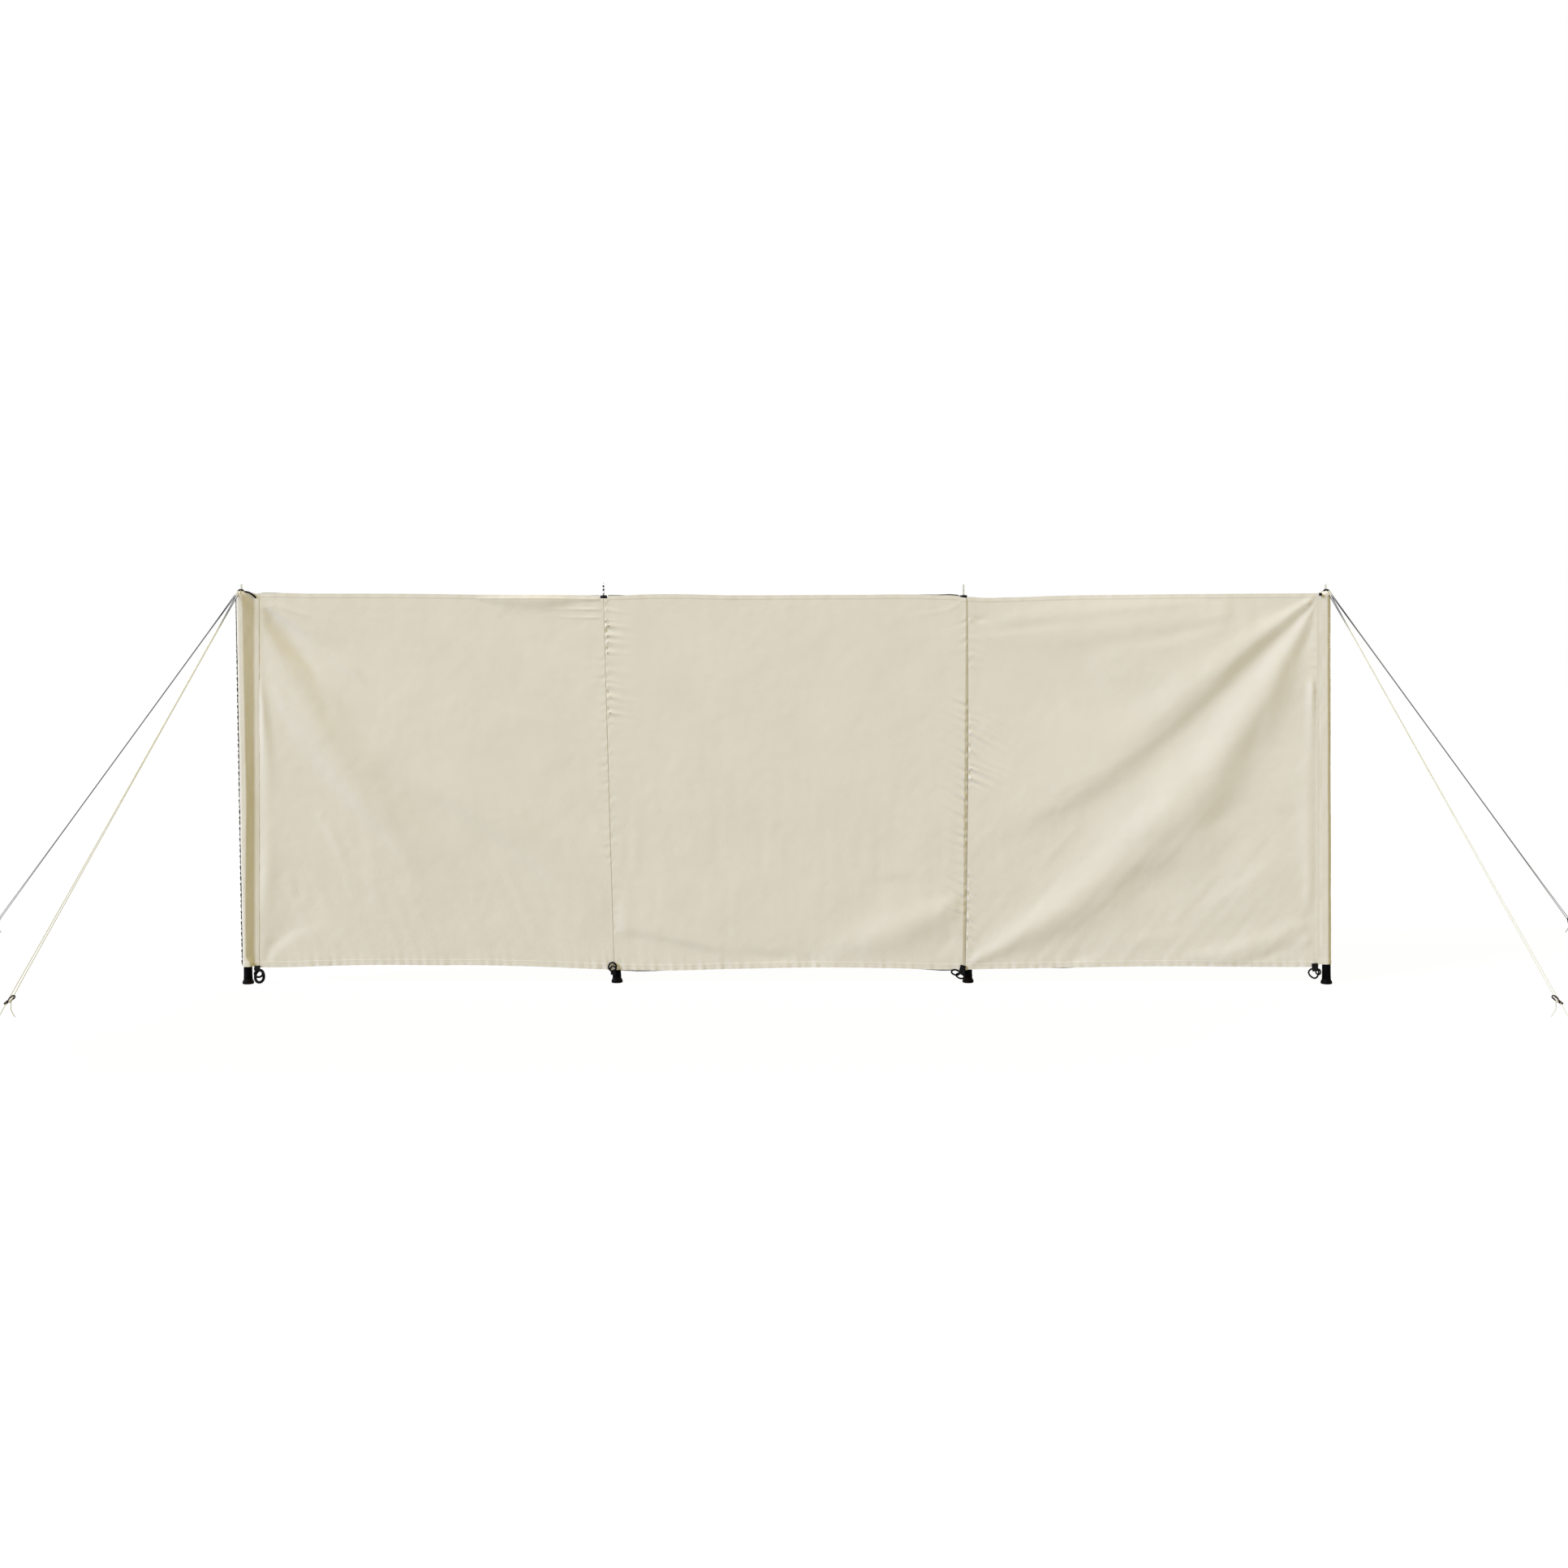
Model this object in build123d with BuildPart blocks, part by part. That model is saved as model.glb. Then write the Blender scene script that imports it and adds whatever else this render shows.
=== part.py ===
from build123d import *
import os
from math import acos, atan2, cos, hypot, pi, radians, sin, tan

# Beach windbreak: three cloth bays on four poles, with two guy ropes at each end.
# X runs along the windbreak, Y points to its back, and the origin is under the foot of the left end pole.

# Layout
pole_names = ("left_end", "left_mid", "right_mid", "right_end")
bay_names = ("left", "middle", "right")
end_poles = (0, 3)
pole_leans = (1.0, 2.0, 0.65, 0.1)
bay_width = 1370.0
fit_clearance = 0.2
cut_overrun = 20.0

# Cloth
cloth_height = 1410.0
cloth_thickness = 2.0
hem_height = 66.0
mid_drop = 15.0
sleeve_slack = 4.0
end_sleeve_tip = 28.0
mid_sleeve_tip = 22.0
end_seam_reach = 40.0
mid_seam_reach = 28.0
crown_height = 12.0
crown_taper = 42.0

# Poles
pole_diameter = 25.0
pole_wall = 1.0

# Feet
foot_wall = 3.5
foot_height = 80.0
foot_floor = 8.0
foot_flange_diameter = 42.0
foot_flange_height = 10.0
foot_sides = 24

# Caps and spikes
cap_overhang = 1.0
cap_height = 14.0
cap_spigot_length = 45.0
cap_sides = 16
spike_diameter = 7.0
spike_root = 12.0
spike_root_diameter = 5.0
spike_relief = 0.6
spike_length = 40.0
spike_point_length = 8.0
spike_point_taper = 16.0
spike_point_sides = 12

# Straps that tie the top corners of the cloth to the end spikes
strap_width = 10.0
strap_thickness = 1.8
strap_lap = 14.0
strap_bow_share = 0.2

# Webbing tape behind the top and bottom hems
tape_width = 14.0
tape_thickness = 1.5
tape_rise = 3.0
tape_sag = 9.0
tape_end_gap = 4.0

# Guy ropes
rope_diameter = 3.0
rope_sides = 6
rope_bend_start = 6.0
rope_bend_radius = 8.0
front_peg_outward = 440.0
front_peg_reach = 1250.0
back_peg_outward = 1280.0
back_peg_reach = 620.0
front_runner_share = 0.912
back_runner_share = 0.905
hitch_height = 22.0
hitch_length = 70.0
hitch_knot_length = 16.0
hitch_knot_cover = 1.5
stopper_knot_diameter = 9.0
rope_tail_drop = 50.0
rope_tail_reach = 14.0

# Runners
runner_length = 38.0
runner_leg_width = 9.0
runner_ring_length = 24.0
runner_ring_width = 15.5
runner_corner = 5.0
runner_ring_wall = 3.8
runner_thickness = 4.5
runner_tilt = 32.0

# Pegs
peg_width = 10.0
peg_thickness = 8.0
peg_neck = 9.0
peg_hook_reach = 9.0
peg_hook_drop = 12.0
peg_hook_thickness = 6.0

# Peg tabs and elastic loops under the hem
tab_width = 16.0
tab_ply = 1.5
tab_lap = 12.0
tab_drop = 4.0
tab_offsets = (42.0, -4.0, -31.0, -46.0)
tab_swings = (5.0, 0.0, -38.0, 5.0)
loop_width = 36.0
loop_lengths = (44.0, 38.0)
loop_cord_width = 6.0
loop_cord_depth = 4.0
raised_loops = (1,)

# Worked out from the sizes above
pole_radius = pole_diameter / 2
spike_radius = spike_diameter / 2
rope_radius = rope_diameter / 2
sleeve_radius = pole_radius + sleeve_slack
sleeve_top = hem_height + cloth_height
shoulder_height = sleeve_top - cloth_thickness
pole_top = shoulder_height - cap_height
crown_top = sleeve_top + crown_height
strap_top = crown_top + strap_thickness
cloth_back = cloth_thickness / 2
mid_setback = mid_seam_reach - cloth_back

os.makedirs("parts", exist_ok=True)


def pole_plane(index, height=0):
    # A plane square to a pole's axis, at a distance along it from the ground
    lean = radians(pole_leans[index])
    first_top = -shoulder_height * tan(radians(pole_leans[0]))
    foot = first_top + index * bay_width + shoulder_height * tan(lean)
    setback = 0 if index in end_poles else mid_setback
    plane = Plane((foot, setback, 0), x_dir=(cos(lean), 0, sin(lean)), z_dir=(-sin(lean), 0, cos(lean)))
    return plane.offset(height)


def pole_section(index, height=0):
    # A plane through a pole's axis, with X out from the axis and Y up along it
    plane = pole_plane(index, height)
    return Plane(plane.origin, x_dir=plane.x_dir, z_dir=-plane.y_dir)


def pole_axis(index):
    plane = pole_plane(index)
    return Axis(plane.origin, plane.z_dir)


def turned(plane, angle):
    # The same plane with its X direction turned about its own normal
    x_dir = plane.x_dir * cos(radians(angle)) + plane.y_dir * sin(radians(angle))
    return Plane(plane.origin, x_dir=x_dir, z_dir=plane.z_dir)


def hem_of(index):
    return hem_height if index in end_poles else hem_height - mid_drop


def cloth_point(index, across, height):
    # A point of the cloth's plane, measured from a pole's axis and from the bottom hem
    point = pole_plane(index, hem_of(index)).from_local_coords((across, 0, height))
    return (point.X, point.Z)


def seam_reach(index):
    return end_seam_reach if index in end_poles else cloth_back


def teardrop(radius, tip):
    # A round end with two straight sides that meet at a tip
    angle = acos(radius / tip)
    upper = (radius * cos(angle), radius * sin(angle))
    lower = (radius * cos(angle), -radius * sin(angle))
    with BuildLine() as outline:
        Line((tip, 0), upper)
        ThreePointArc(upper, (-radius, 0), lower)
        Line(lower, (tip, 0))
    make_face(outline.edges())


def sleeve_outline(tip, reach):
    # The outside of a cloth sleeve: its loop round the pole and the flat seam that joins it to the panels
    outer_radius = sleeve_radius + cloth_thickness
    teardrop(outer_radius, tip * outer_radius / sleeve_radius)
    with Locations((tip, 0)):
        Rectangle(reach - tip, cloth_thickness, align=(Align.MIN, Align.CENTER))


def cut_rectangle(width, height, corner, inset, mode):
    # A rectangle with its corners cut off, inset all round
    half_width = width / 2 - inset
    half_height = height / 2 - inset
    cut = corner - inset
    right = [(half_width, cut - half_height), (half_width, half_height - cut)]
    top = [(half_width - cut, half_height), (cut - half_width, half_height)]
    opposite = [(-x, -y) for x, y in right + top]
    Polygon(*right, *top, *opposite, mode=mode)


# Poles
for index, name in enumerate(pole_names):
    with BuildPart() as pole:
        with BuildSketch(pole_plane(index, foot_floor)):
            Circle(pole_radius)
            Circle(pole_radius - pole_wall, mode=Mode.SUBTRACT)
        extrude(amount=pole_top - foot_floor)
    pole.part.label = f"{name}_pole"
    export_step(pole.part, f"parts/{name}_pole.step")

# Feet: moulded rubber boots with a flange, trimmed level with the ground
for index, name in enumerate(pole_names):
    with BuildPart() as foot:
        with BuildSketch(pole_plane(index, -cut_overrun)):
            RegularPolygon(foot_flange_diameter / 2, foot_sides)
        extrude(amount=cut_overrun + foot_flange_height)
        with BuildSketch(pole_plane(index, foot_flange_height)):
            RegularPolygon(pole_radius + foot_wall, foot_sides)
        extrude(amount=foot_height - foot_flange_height)
        with BuildSketch(pole_plane(index, foot_height)):
            Circle(pole_radius + fit_clearance / 2)
        extrude(amount=foot_floor - foot_height, mode=Mode.SUBTRACT)
        split(bisect_by=Plane.XY, keep=Keep.TOP)
    foot.part.label = f"{name}_foot"
    export_step(foot.part, f"parts/{name}_foot.step")

# Caps: many-sided plugs in the tops of the poles, each bored for its spike
for index, name in enumerate(pole_names):
    spigot_radius = pole_radius - pole_wall - fit_clearance / 2
    cap_radius = pole_radius + cap_overhang
    bore_radius = (spike_root_diameter + fit_clearance) / 2
    with BuildPart() as cap:
        with BuildSketch(pole_plane(index, pole_top)):
            RegularPolygon(spigot_radius, cap_sides)
        extrude(amount=-cap_spigot_length)
        with BuildSketch(pole_plane(index, pole_top)):
            RegularPolygon(cap_radius, cap_sides)
        extrude(amount=cap_height)
        with BuildSketch(pole_plane(index, shoulder_height)):
            Circle(bore_radius)
        extrude(amount=-spike_root, mode=Mode.SUBTRACT)
    cap.part.label = f"{name}_cap"
    export_step(cap.part, f"parts/{name}_cap.step")

# Spikes: steel pins with a blunt point, each shouldered on its cap
for index, name in enumerate(pole_names):
    with BuildPart() as spike:
        with BuildSketch(pole_section(index, shoulder_height)):
            with BuildLine():
                Polyline(
                    (0, -spike_root),
                    (spike_root_diameter / 2, -spike_root),
                    (spike_root_diameter / 2, 0),
                    (spike_radius - spike_relief, 0),
                    (spike_radius - spike_relief, spike_relief),
                    (spike_radius, spike_relief),
                    (spike_radius, spike_length),
                    (0, spike_length),
                    close=True,
                )
            make_face()
        revolve(axis=pole_axis(index))
        with BuildSketch(pole_plane(index, shoulder_height + spike_length)):
            RegularPolygon(spike_radius, spike_point_sides)
        extrude(amount=spike_point_length, taper=spike_point_taper)
    spike.part.label = f"{name}_spike"
    export_step(spike.part, f"parts/{name}_spike.step")

# Sleeves: those of the end poles lie in line with the cloth and close in a crown round the spike,
# those of the middle poles stand behind the seam between two panels and are open
for index, name in enumerate(pole_names):
    at_end = index in end_poles
    tip = end_sleeve_tip if at_end else mid_sleeve_tip
    reach = end_seam_reach if at_end else mid_seam_reach
    turn = (0, -90, -90, 180)[index]
    profile_plane = turned(pole_plane(index, hem_of(index)), turn)
    with BuildPart() as sleeve:
        with BuildSketch(profile_plane):
            sleeve_outline(tip, reach)
        extrude(amount=cloth_height)
        with BuildSketch(profile_plane):
            teardrop(sleeve_radius, tip)
        extrude(amount=cloth_height - (cloth_thickness if at_end else 0), mode=Mode.SUBTRACT)
        if at_end:
            with BuildSketch(profile_plane.offset(cloth_height)):
                Circle(sleeve_radius + cloth_thickness)
            extrude(amount=crown_height, taper=crown_taper)
            with BuildSketch(profile_plane.offset(cloth_height - cloth_thickness)):
                Circle(spike_radius + fit_clearance)
            extrude(amount=cloth_thickness + crown_height, mode=Mode.SUBTRACT)
    sleeve.part.label = f"{name}_sleeve"
    export_step(sleeve.part, f"parts/{name}_sleeve.step")

# Cloth panels
for index, name in enumerate(bay_names):
    left = seam_reach(index)
    right = -seam_reach(index + 1)
    with BuildPart() as panel:
        with BuildSketch(Plane.XZ):
            with BuildLine():
                Polyline(
                    cloth_point(index, left, 0),
                    cloth_point(index + 1, right, 0),
                    cloth_point(index + 1, right, cloth_height),
                    cloth_point(index, left, cloth_height),
                    close=True,
                )
            make_face()
        extrude(amount=cloth_back, both=True)
    panel.part.label = f"{name}_panel"
    export_step(panel.part, f"parts/{name}_panel.step")


def tape(height, inset, bend):
    # One strip of tape behind each panel, bowed between its ends
    for index in range(len(bay_names)):
        start_low = cloth_point(index, inset, height)
        end_low = cloth_point(index + 1, -inset, height)
        start_high = (start_low[0], start_low[1] + tape_width)
        end_high = (end_low[0], end_low[1] + tape_width)
        middle = ((start_low[0] + end_low[0]) / 2, (start_low[1] + end_low[1]) / 2 + bend)
        with BuildSketch(Plane.XZ.offset(-cloth_back)) as strip:
            with BuildLine():
                ThreePointArc(start_low, middle, end_low)
                Line(end_low, end_high)
                ThreePointArc(end_high, (middle[0], middle[1] + tape_width), start_high)
                Line(start_high, start_low)
            make_face()
        extrude(strip.sketch, amount=-tape_thickness)


# Tapes: the top one shows above the hem near the poles, the bottom one below it
top_tape_inset = end_seam_reach + strap_lap + tape_end_gap
bottom_tape_inset = max(map(abs, tab_offsets)) + tab_width / 2 + tape_end_gap
with BuildPart() as top_tape:
    tape(cloth_height + tape_rise - tape_width, top_tape_inset, -tape_sag)
top_tape.part.label = "top_tape"
export_step(top_tape.part, "parts/top_tape.step")

with BuildPart() as bottom_tape:
    tape(-tape_rise, bottom_tape_inset, tape_sag)
bottom_tape.part.label = "bottom_tape"
export_step(bottom_tape.part, "parts/bottom_tape.step")

# Corner straps: a ring round the spike and an arm that bows down to the top of the panel, where it is sewn
for index in end_poles:
    name = pole_names[index]
    side = 1 if index == end_poles[0] else -1
    strap_end = side * (end_seam_reach + strap_lap)
    bow_low = crown_top - strap_bow_share * crown_height
    with BuildPart() as strap:
        with BuildSketch(pole_section(index)):
            with BuildLine():
                upper = ThreePointArc(
                    (0, strap_top), (strap_end / 2, bow_low + strap_thickness), (strap_end, sleeve_top + strap_thickness)
                )
                lower = ThreePointArc((0, crown_top), (strap_end / 2, bow_low), (strap_end, sleeve_top))
                Line(upper @ 0, lower @ 0)
                Line(upper @ 1, lower @ 1)
            make_face()
        extrude(amount=strap_width / 2, both=True)
        with BuildSketch(pole_plane(index, crown_top)):
            Circle(strap_width / 2)
        extrude(amount=strap_thickness)
        with BuildSketch(pole_plane(index, sleeve_top)):
            Circle(spike_radius + fit_clearance)
        extrude(amount=2 * crown_height, mode=Mode.SUBTRACT)
    strap.part.label = f"{name}_strap"
    export_step(strap.part, f"parts/{name}_strap.step")

# Peg tabs: folded webbing sewn to the hem, with a tunnel below it that the elastic loops run through
tunnel_depth = len(loop_lengths) * (loop_cord_depth + fit_clearance) + fit_clearance
tunnel_height = loop_cord_width + fit_clearance
tunnel_floor = -tab_drop - tab_ply - tunnel_height


def tab_plane(index):
    # X along the tunnel, Y out from the front of the cloth and Z up the tab, from the edge of the hem
    swing = radians(tab_swings[index])
    edge = cloth_point(index, tab_offsets[index], 0)
    return Plane(
        (edge[0], -cloth_back, edge[1]),
        x_dir=(-cos(swing), 0, -sin(swing)),
        z_dir=(-sin(swing), 0, cos(swing)),
    )


def side_plane(plane):
    # The same place seen along X, with Y across and Z up
    return Plane(plane.origin, x_dir=plane.y_dir, z_dir=plane.x_dir)


def front_plane(plane, depth):
    # The same place seen from the cloth, with X across and Z up
    return Plane(plane.from_local_coords((0, depth, 0)), x_dir=plane.x_dir, z_dir=-plane.y_dir)


for index, name in enumerate(pole_names):
    with BuildPart() as tab:
        with BuildSketch(side_plane(tab_plane(index))):
            with Locations((0, tunnel_floor - tab_ply)):
                Rectangle(tunnel_depth + 2 * tab_ply, tunnel_height + 2 * tab_ply, align=(Align.MIN, Align.MIN))
            with Locations((0, -tab_drop)):
                Rectangle(2 * tab_ply, tab_drop + tab_lap, align=(Align.MIN, Align.MIN))
            with Locations((tab_ply, tunnel_floor)):
                Rectangle(tunnel_depth, tunnel_height, align=(Align.MIN, Align.MIN), mode=Mode.SUBTRACT)
        extrude(amount=tab_width / 2, both=True)
    tab.part.label = f"{name}_peg_tab"
    export_step(tab.part, f"parts/{name}_peg_tab.step")

# Elastic loops, two side by side in each tunnel
loop_corner = (loop_width - tab_width) / 2 - fit_clearance


for index, name in enumerate(pole_names):
    with BuildPart() as loops:
        for place, length in enumerate(loop_lengths):
            depth = tab_ply + fit_clearance + place * (loop_cord_depth + fit_clearance)
            middle = length / 2 if index in raised_loops else loop_cord_width - length / 2
            with BuildSketch(front_plane(tab_plane(index), depth)):
                with Locations((0, tunnel_floor + middle)):
                    cut_rectangle(loop_width, length, loop_corner, 0, Mode.ADD)
                    cut_rectangle(loop_width, length, loop_corner, loop_cord_width, Mode.SUBTRACT)
            extrude(amount=-loop_cord_depth)
    loops.part.label = f"{name}_peg_loops"
    export_step(loops.part, f"parts/{name}_peg_loops.step")

# Guy ropes: each is looped over its spike, comes down as two strands to the runner,
# and goes on as one strand to the peg, where it is tied in a loop
spike_turn = spike_radius + rope_radius + fit_clearance
peg_turn = hypot(peg_width, peg_thickness) / 2 + rope_radius + fit_clearance
runner_angle = radians(runner_tilt)
knot_radius = stopper_knot_diameter / 2
knot_offset = (runner_thickness / 2 + knot_radius + fit_clearance) / sin(runner_angle) - spike_turn / tan(runner_angle)

guy_places = {
    "front": (front_peg_outward, -front_peg_reach, front_runner_share, 0),
    "back": (back_peg_outward, back_peg_reach, back_runner_share, 1),
}

for end_index, end_name, side in ((end_poles[0], "left", -1), (end_poles[1], "right", 1)):
    for guy_name, (outward, reach, runner_share, level) in guy_places.items():
        loop_height = strap_top + fit_clearance + rope_radius + level * (rope_diameter + fit_clearance)
        loop_centre = pole_plane(end_index, loop_height).origin
        guy = Plane(loop_centre, x_dir=(side * outward, reach, 0), z_dir=(0, 0, 1))

        # The straight run leaves the bend over the sleeve and ends level with the hitch on the peg
        span = hypot(outward, reach) - rope_bend_start
        fall = hitch_height - loop_centre.Z + rope_bend_radius
        leave = atan2(fall, span) + acos(rope_bend_radius / hypot(span, fall))
        run_length = (hypot(span, fall) ** 2 - rope_bend_radius**2) ** 0.5
        runner_at = run_length * runner_share

        run_dir = guy.x_dir * sin(leave) - guy.z_dir * cos(leave)
        across_dir = guy.y_dir * -side

        def top_point(along, across):
            return guy.from_local_coords((along, 0, 0)) + across_dir * across

        def bend_point(angle, across):
            along = rope_bend_start + rope_bend_radius * cos(angle)
            drop = rope_bend_radius * (1 - sin(angle))
            return guy.from_local_coords((along, 0, -drop)) + across_dir * across

        def run_point(distance, across):
            return bend_point(leave, across) + run_dir * distance

        middle_angle = (pi / 2 + leave) / 2
        hitch_far = 2 * peg_turn - spike_turn

        with BuildPart() as rope:
            with BuildLine() as route:
                tied_run = Line(run_point(runner_at + knot_offset, spike_turn), run_point(0, spike_turn))
                tied_top = top_point(rope_bend_start, spike_turn)
                ThreePointArc(tied_run @ 1, bend_point(middle_angle, spike_turn), tied_top)
                tied_lead = Line(tied_top, top_point(0, spike_turn))
                turn = ThreePointArc(tied_lead @ 1, top_point(-spike_turn, 0), top_point(0, -spike_turn))
                long_lead = Line(turn @ 1, top_point(rope_bend_start, -spike_turn))
                ThreePointArc(long_lead @ 1, bend_point(middle_angle, -spike_turn), run_point(0, -spike_turn))
                long_run = Line(run_point(0, -spike_turn), run_point(run_length, -spike_turn))
                hitch_side = run_point(run_length, hitch_far)
                ThreePointArc(long_run @ 1, run_point(run_length + peg_turn, peg_turn - spike_turn), hitch_side)
                Line(hitch_side, run_point(run_length - hitch_length, hitch_far))
            with BuildSketch(Plane(route.line @ 0, z_dir=route.line % 0)):
                RegularPolygon(rope_radius, rope_sides)
            sweep()
            knot_centre = run_point(runner_at + knot_offset, spike_turn)
            with BuildSketch(Plane(knot_centre, z_dir=run_dir)):
                RegularPolygon(knot_radius, rope_sides)
            extrude(amount=rope_radius, both=True)
            tail_plane = Plane(knot_centre, z_dir=Vector(-side * rope_tail_reach, 0, -rope_tail_drop))
            with BuildSketch(tail_plane):
                RegularPolygon(rope_radius, rope_sides)
            extrude(amount=hypot(rope_tail_reach, rope_tail_drop))
            hitch_knot = run_point(run_length - hitch_length, peg_turn - spike_turn)
            with BuildSketch(Plane(hitch_knot, z_dir=run_dir)):
                RegularPolygon(peg_turn + rope_radius + hitch_knot_cover, rope_sides)
            extrude(amount=hitch_knot_length / 2, both=True)
        rope.part.label = f"{end_name}_{guy_name}_rope"
        export_step(rope.part, f"parts/{end_name}_{guy_name}_rope.step")

        # Runner: a flat slide set across the two strands, a leg with a hole for one and a ring round the tied one
        runner_centre = run_point(runner_at, 0)
        long_dir = run_dir * cos(runner_angle) - across_dir * sin(runner_angle)
        thick_dir = run_dir * sin(runner_angle) + across_dir * cos(runner_angle)
        with BuildPart() as runner:
            with BuildSketch(Plane(runner_centre, x_dir=long_dir, z_dir=thick_dir)):
                Rectangle(runner_length, runner_leg_width)
                with Locations((-spike_turn / sin(runner_angle), 0)):
                    cut_rectangle(runner_ring_length, runner_ring_width, runner_corner, 0, Mode.ADD)
                    cut_rectangle(runner_ring_length, runner_ring_width, runner_corner, runner_ring_wall, Mode.SUBTRACT)
            extrude(amount=runner_thickness / 2, both=True)
            with BuildSketch(Plane(runner_centre, x_dir=across_dir, z_dir=run_dir)):
                with Locations((-spike_turn, 0)):
                    RegularPolygon(rope_radius + fit_clearance, rope_sides, major_radius=False)
            extrude(amount=runner_length, both=True, mode=Mode.SUBTRACT)
        runner.part.label = f"{end_name}_{guy_name}_runner"
        export_step(runner.part, f"parts/{end_name}_{guy_name}_runner.step")

        # Peg: a hooked bar driven in square to the rope, from the ground up
        peg_centre = run_point(run_length, peg_turn - spike_turn)
        peg_head = rope_radius + peg_neck
        hook_far = peg_width / 2 + peg_hook_reach
        with BuildPart() as peg:
            with BuildSketch(Plane(peg_centre, x_dir=run_dir, z_dir=-guy.y_dir)):
                with BuildLine():
                    Polyline(
                        (-peg_width / 2, -2 * hitch_height - cut_overrun),
                        (peg_width / 2, -2 * hitch_height - cut_overrun),
                        (peg_width / 2, peg_head - peg_hook_thickness),
                        (hook_far, peg_head - peg_hook_thickness),
                        (hook_far, peg_head - peg_hook_drop),
                        (hook_far + peg_hook_thickness, peg_head - peg_hook_drop),
                        (hook_far + peg_hook_thickness, peg_head),
                        (-peg_width / 2, peg_head),
                        close=True,
                    )
                make_face()
            extrude(amount=peg_thickness / 2, both=True)
            split(bisect_by=Plane.XY, keep=Keep.TOP)
        peg.part.label = f"{end_name}_{guy_name}_peg"
        export_step(peg.part, f"parts/{end_name}_{guy_name}_peg.step")
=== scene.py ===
import math
import bmesh
import bpy
import numpy as np
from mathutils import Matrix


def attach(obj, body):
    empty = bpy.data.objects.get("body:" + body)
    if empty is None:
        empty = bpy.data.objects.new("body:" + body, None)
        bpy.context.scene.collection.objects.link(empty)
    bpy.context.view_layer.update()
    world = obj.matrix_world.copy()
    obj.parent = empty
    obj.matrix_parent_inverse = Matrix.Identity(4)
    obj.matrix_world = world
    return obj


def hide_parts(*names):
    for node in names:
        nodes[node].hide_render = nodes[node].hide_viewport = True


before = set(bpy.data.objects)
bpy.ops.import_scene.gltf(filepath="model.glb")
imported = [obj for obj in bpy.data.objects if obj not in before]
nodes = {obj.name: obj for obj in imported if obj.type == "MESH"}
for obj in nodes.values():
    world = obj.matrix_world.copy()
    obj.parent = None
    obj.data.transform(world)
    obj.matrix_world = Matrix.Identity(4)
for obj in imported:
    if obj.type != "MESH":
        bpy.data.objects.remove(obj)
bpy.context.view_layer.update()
print("frame loaded:", len(nodes), "nodes")

layout = {  # the CAD's own layout, in metres and degrees
    "poles": ("left_end", "left_mid", "right_mid", "right_end"),
    "bays": ("left", "middle", "right"),
    "leans": (1.0, 2.0, 0.65, 0.1),
    "setbacks": (0.0, 0.027, 0.027, 0.0),
    "bay": 1.37,
    "shoulder": 1.474,
    "cloth": 1.41,
    "hems": (0.066, 0.051, 0.051, 0.066),
}
waveParts = ((1.0, 1.0, 1.0), (0.6, 1.59, 2.3), (0.5, 0.59, 4.1))  # strength, pace and shift in an uneven wave
waveSize = 1.7
noiseCells, noiseStart = 97, (31.7, 17.3)


def footX(index):
    first = -layout["shoulder"] * math.tan(math.radians(layout["leans"][0]))
    return first + index * layout["bay"] + layout["shoulder"] * math.tan(math.radians(layout["leans"][index]))


def polePoint(index, across, height, depth=0.0):  # a point by its place on a pole, as numbers or arrays
    lean = math.radians(layout["leans"][index])
    across, height, depth = np.broadcast_arrays(*(np.asarray(v, float) for v in (across, height, depth)))
    x = footX(index) + across * math.cos(lean) - height * math.sin(lean)
    z = across * math.sin(lean) + height * math.cos(lean)
    return np.stack((x, layout["setbacks"][index] + depth, z), -1)


def step(low, high, value):  # a smooth step from 0 to 1
    t = np.clip((value - low) / (high - low), 0.0, 1.0)
    return t * t * (3 - 2 * t)


def curveAt(knots, x):  # a smooth curve through knots of (x, y)
    xs, ys = np.array(knots).T
    slopes = np.gradient(ys, xs)
    x = np.clip(x, xs[0], xs[-1])
    k = np.clip(np.searchsorted(xs, x) - 1, 0, len(xs) - 2)
    width = xs[k + 1] - xs[k]
    t = (x - xs[k]) / width
    near, far = ys[k] + slopes[k] * width * t, ys[k + 1] - slopes[k + 1] * width * (1 - t)
    blend = step(0.0, 1.0, t)
    return near * (1 - blend) + far * blend


def ripple(along, pitch, seed):  # an uneven wave
    turn = 2 * math.pi * along / pitch
    return sum(share * np.sin(pace * turn + shift * seed) for share, pace, shift in waveParts) / waveSize


def softNoise(x, y, cell, seed):  # smooth lattice noise from -1 to 1
    lattice = np.random.default_rng(seed).uniform(-1, 1, (noiseCells, noiseCells))
    gx, gy = (np.asarray(place) / cell + start for place, start in zip((x, y), noiseStart))
    ix, iy = np.floor(gx).astype(int), np.floor(gy).astype(int)
    fx, fy = step(0, 1, gx - ix), step(0, 1, gy - iy)
    def corner(dx, dy):
        return lattice[(ix + dx) % noiseCells, (iy + dy) % noiseCells]
    low = corner(0, 0) * (1 - fx) + corner(1, 0) * fx
    high = corner(0, 1) * (1 - fx) + corner(1, 1) * fx
    return low * (1 - fy) + high * fy


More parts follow.
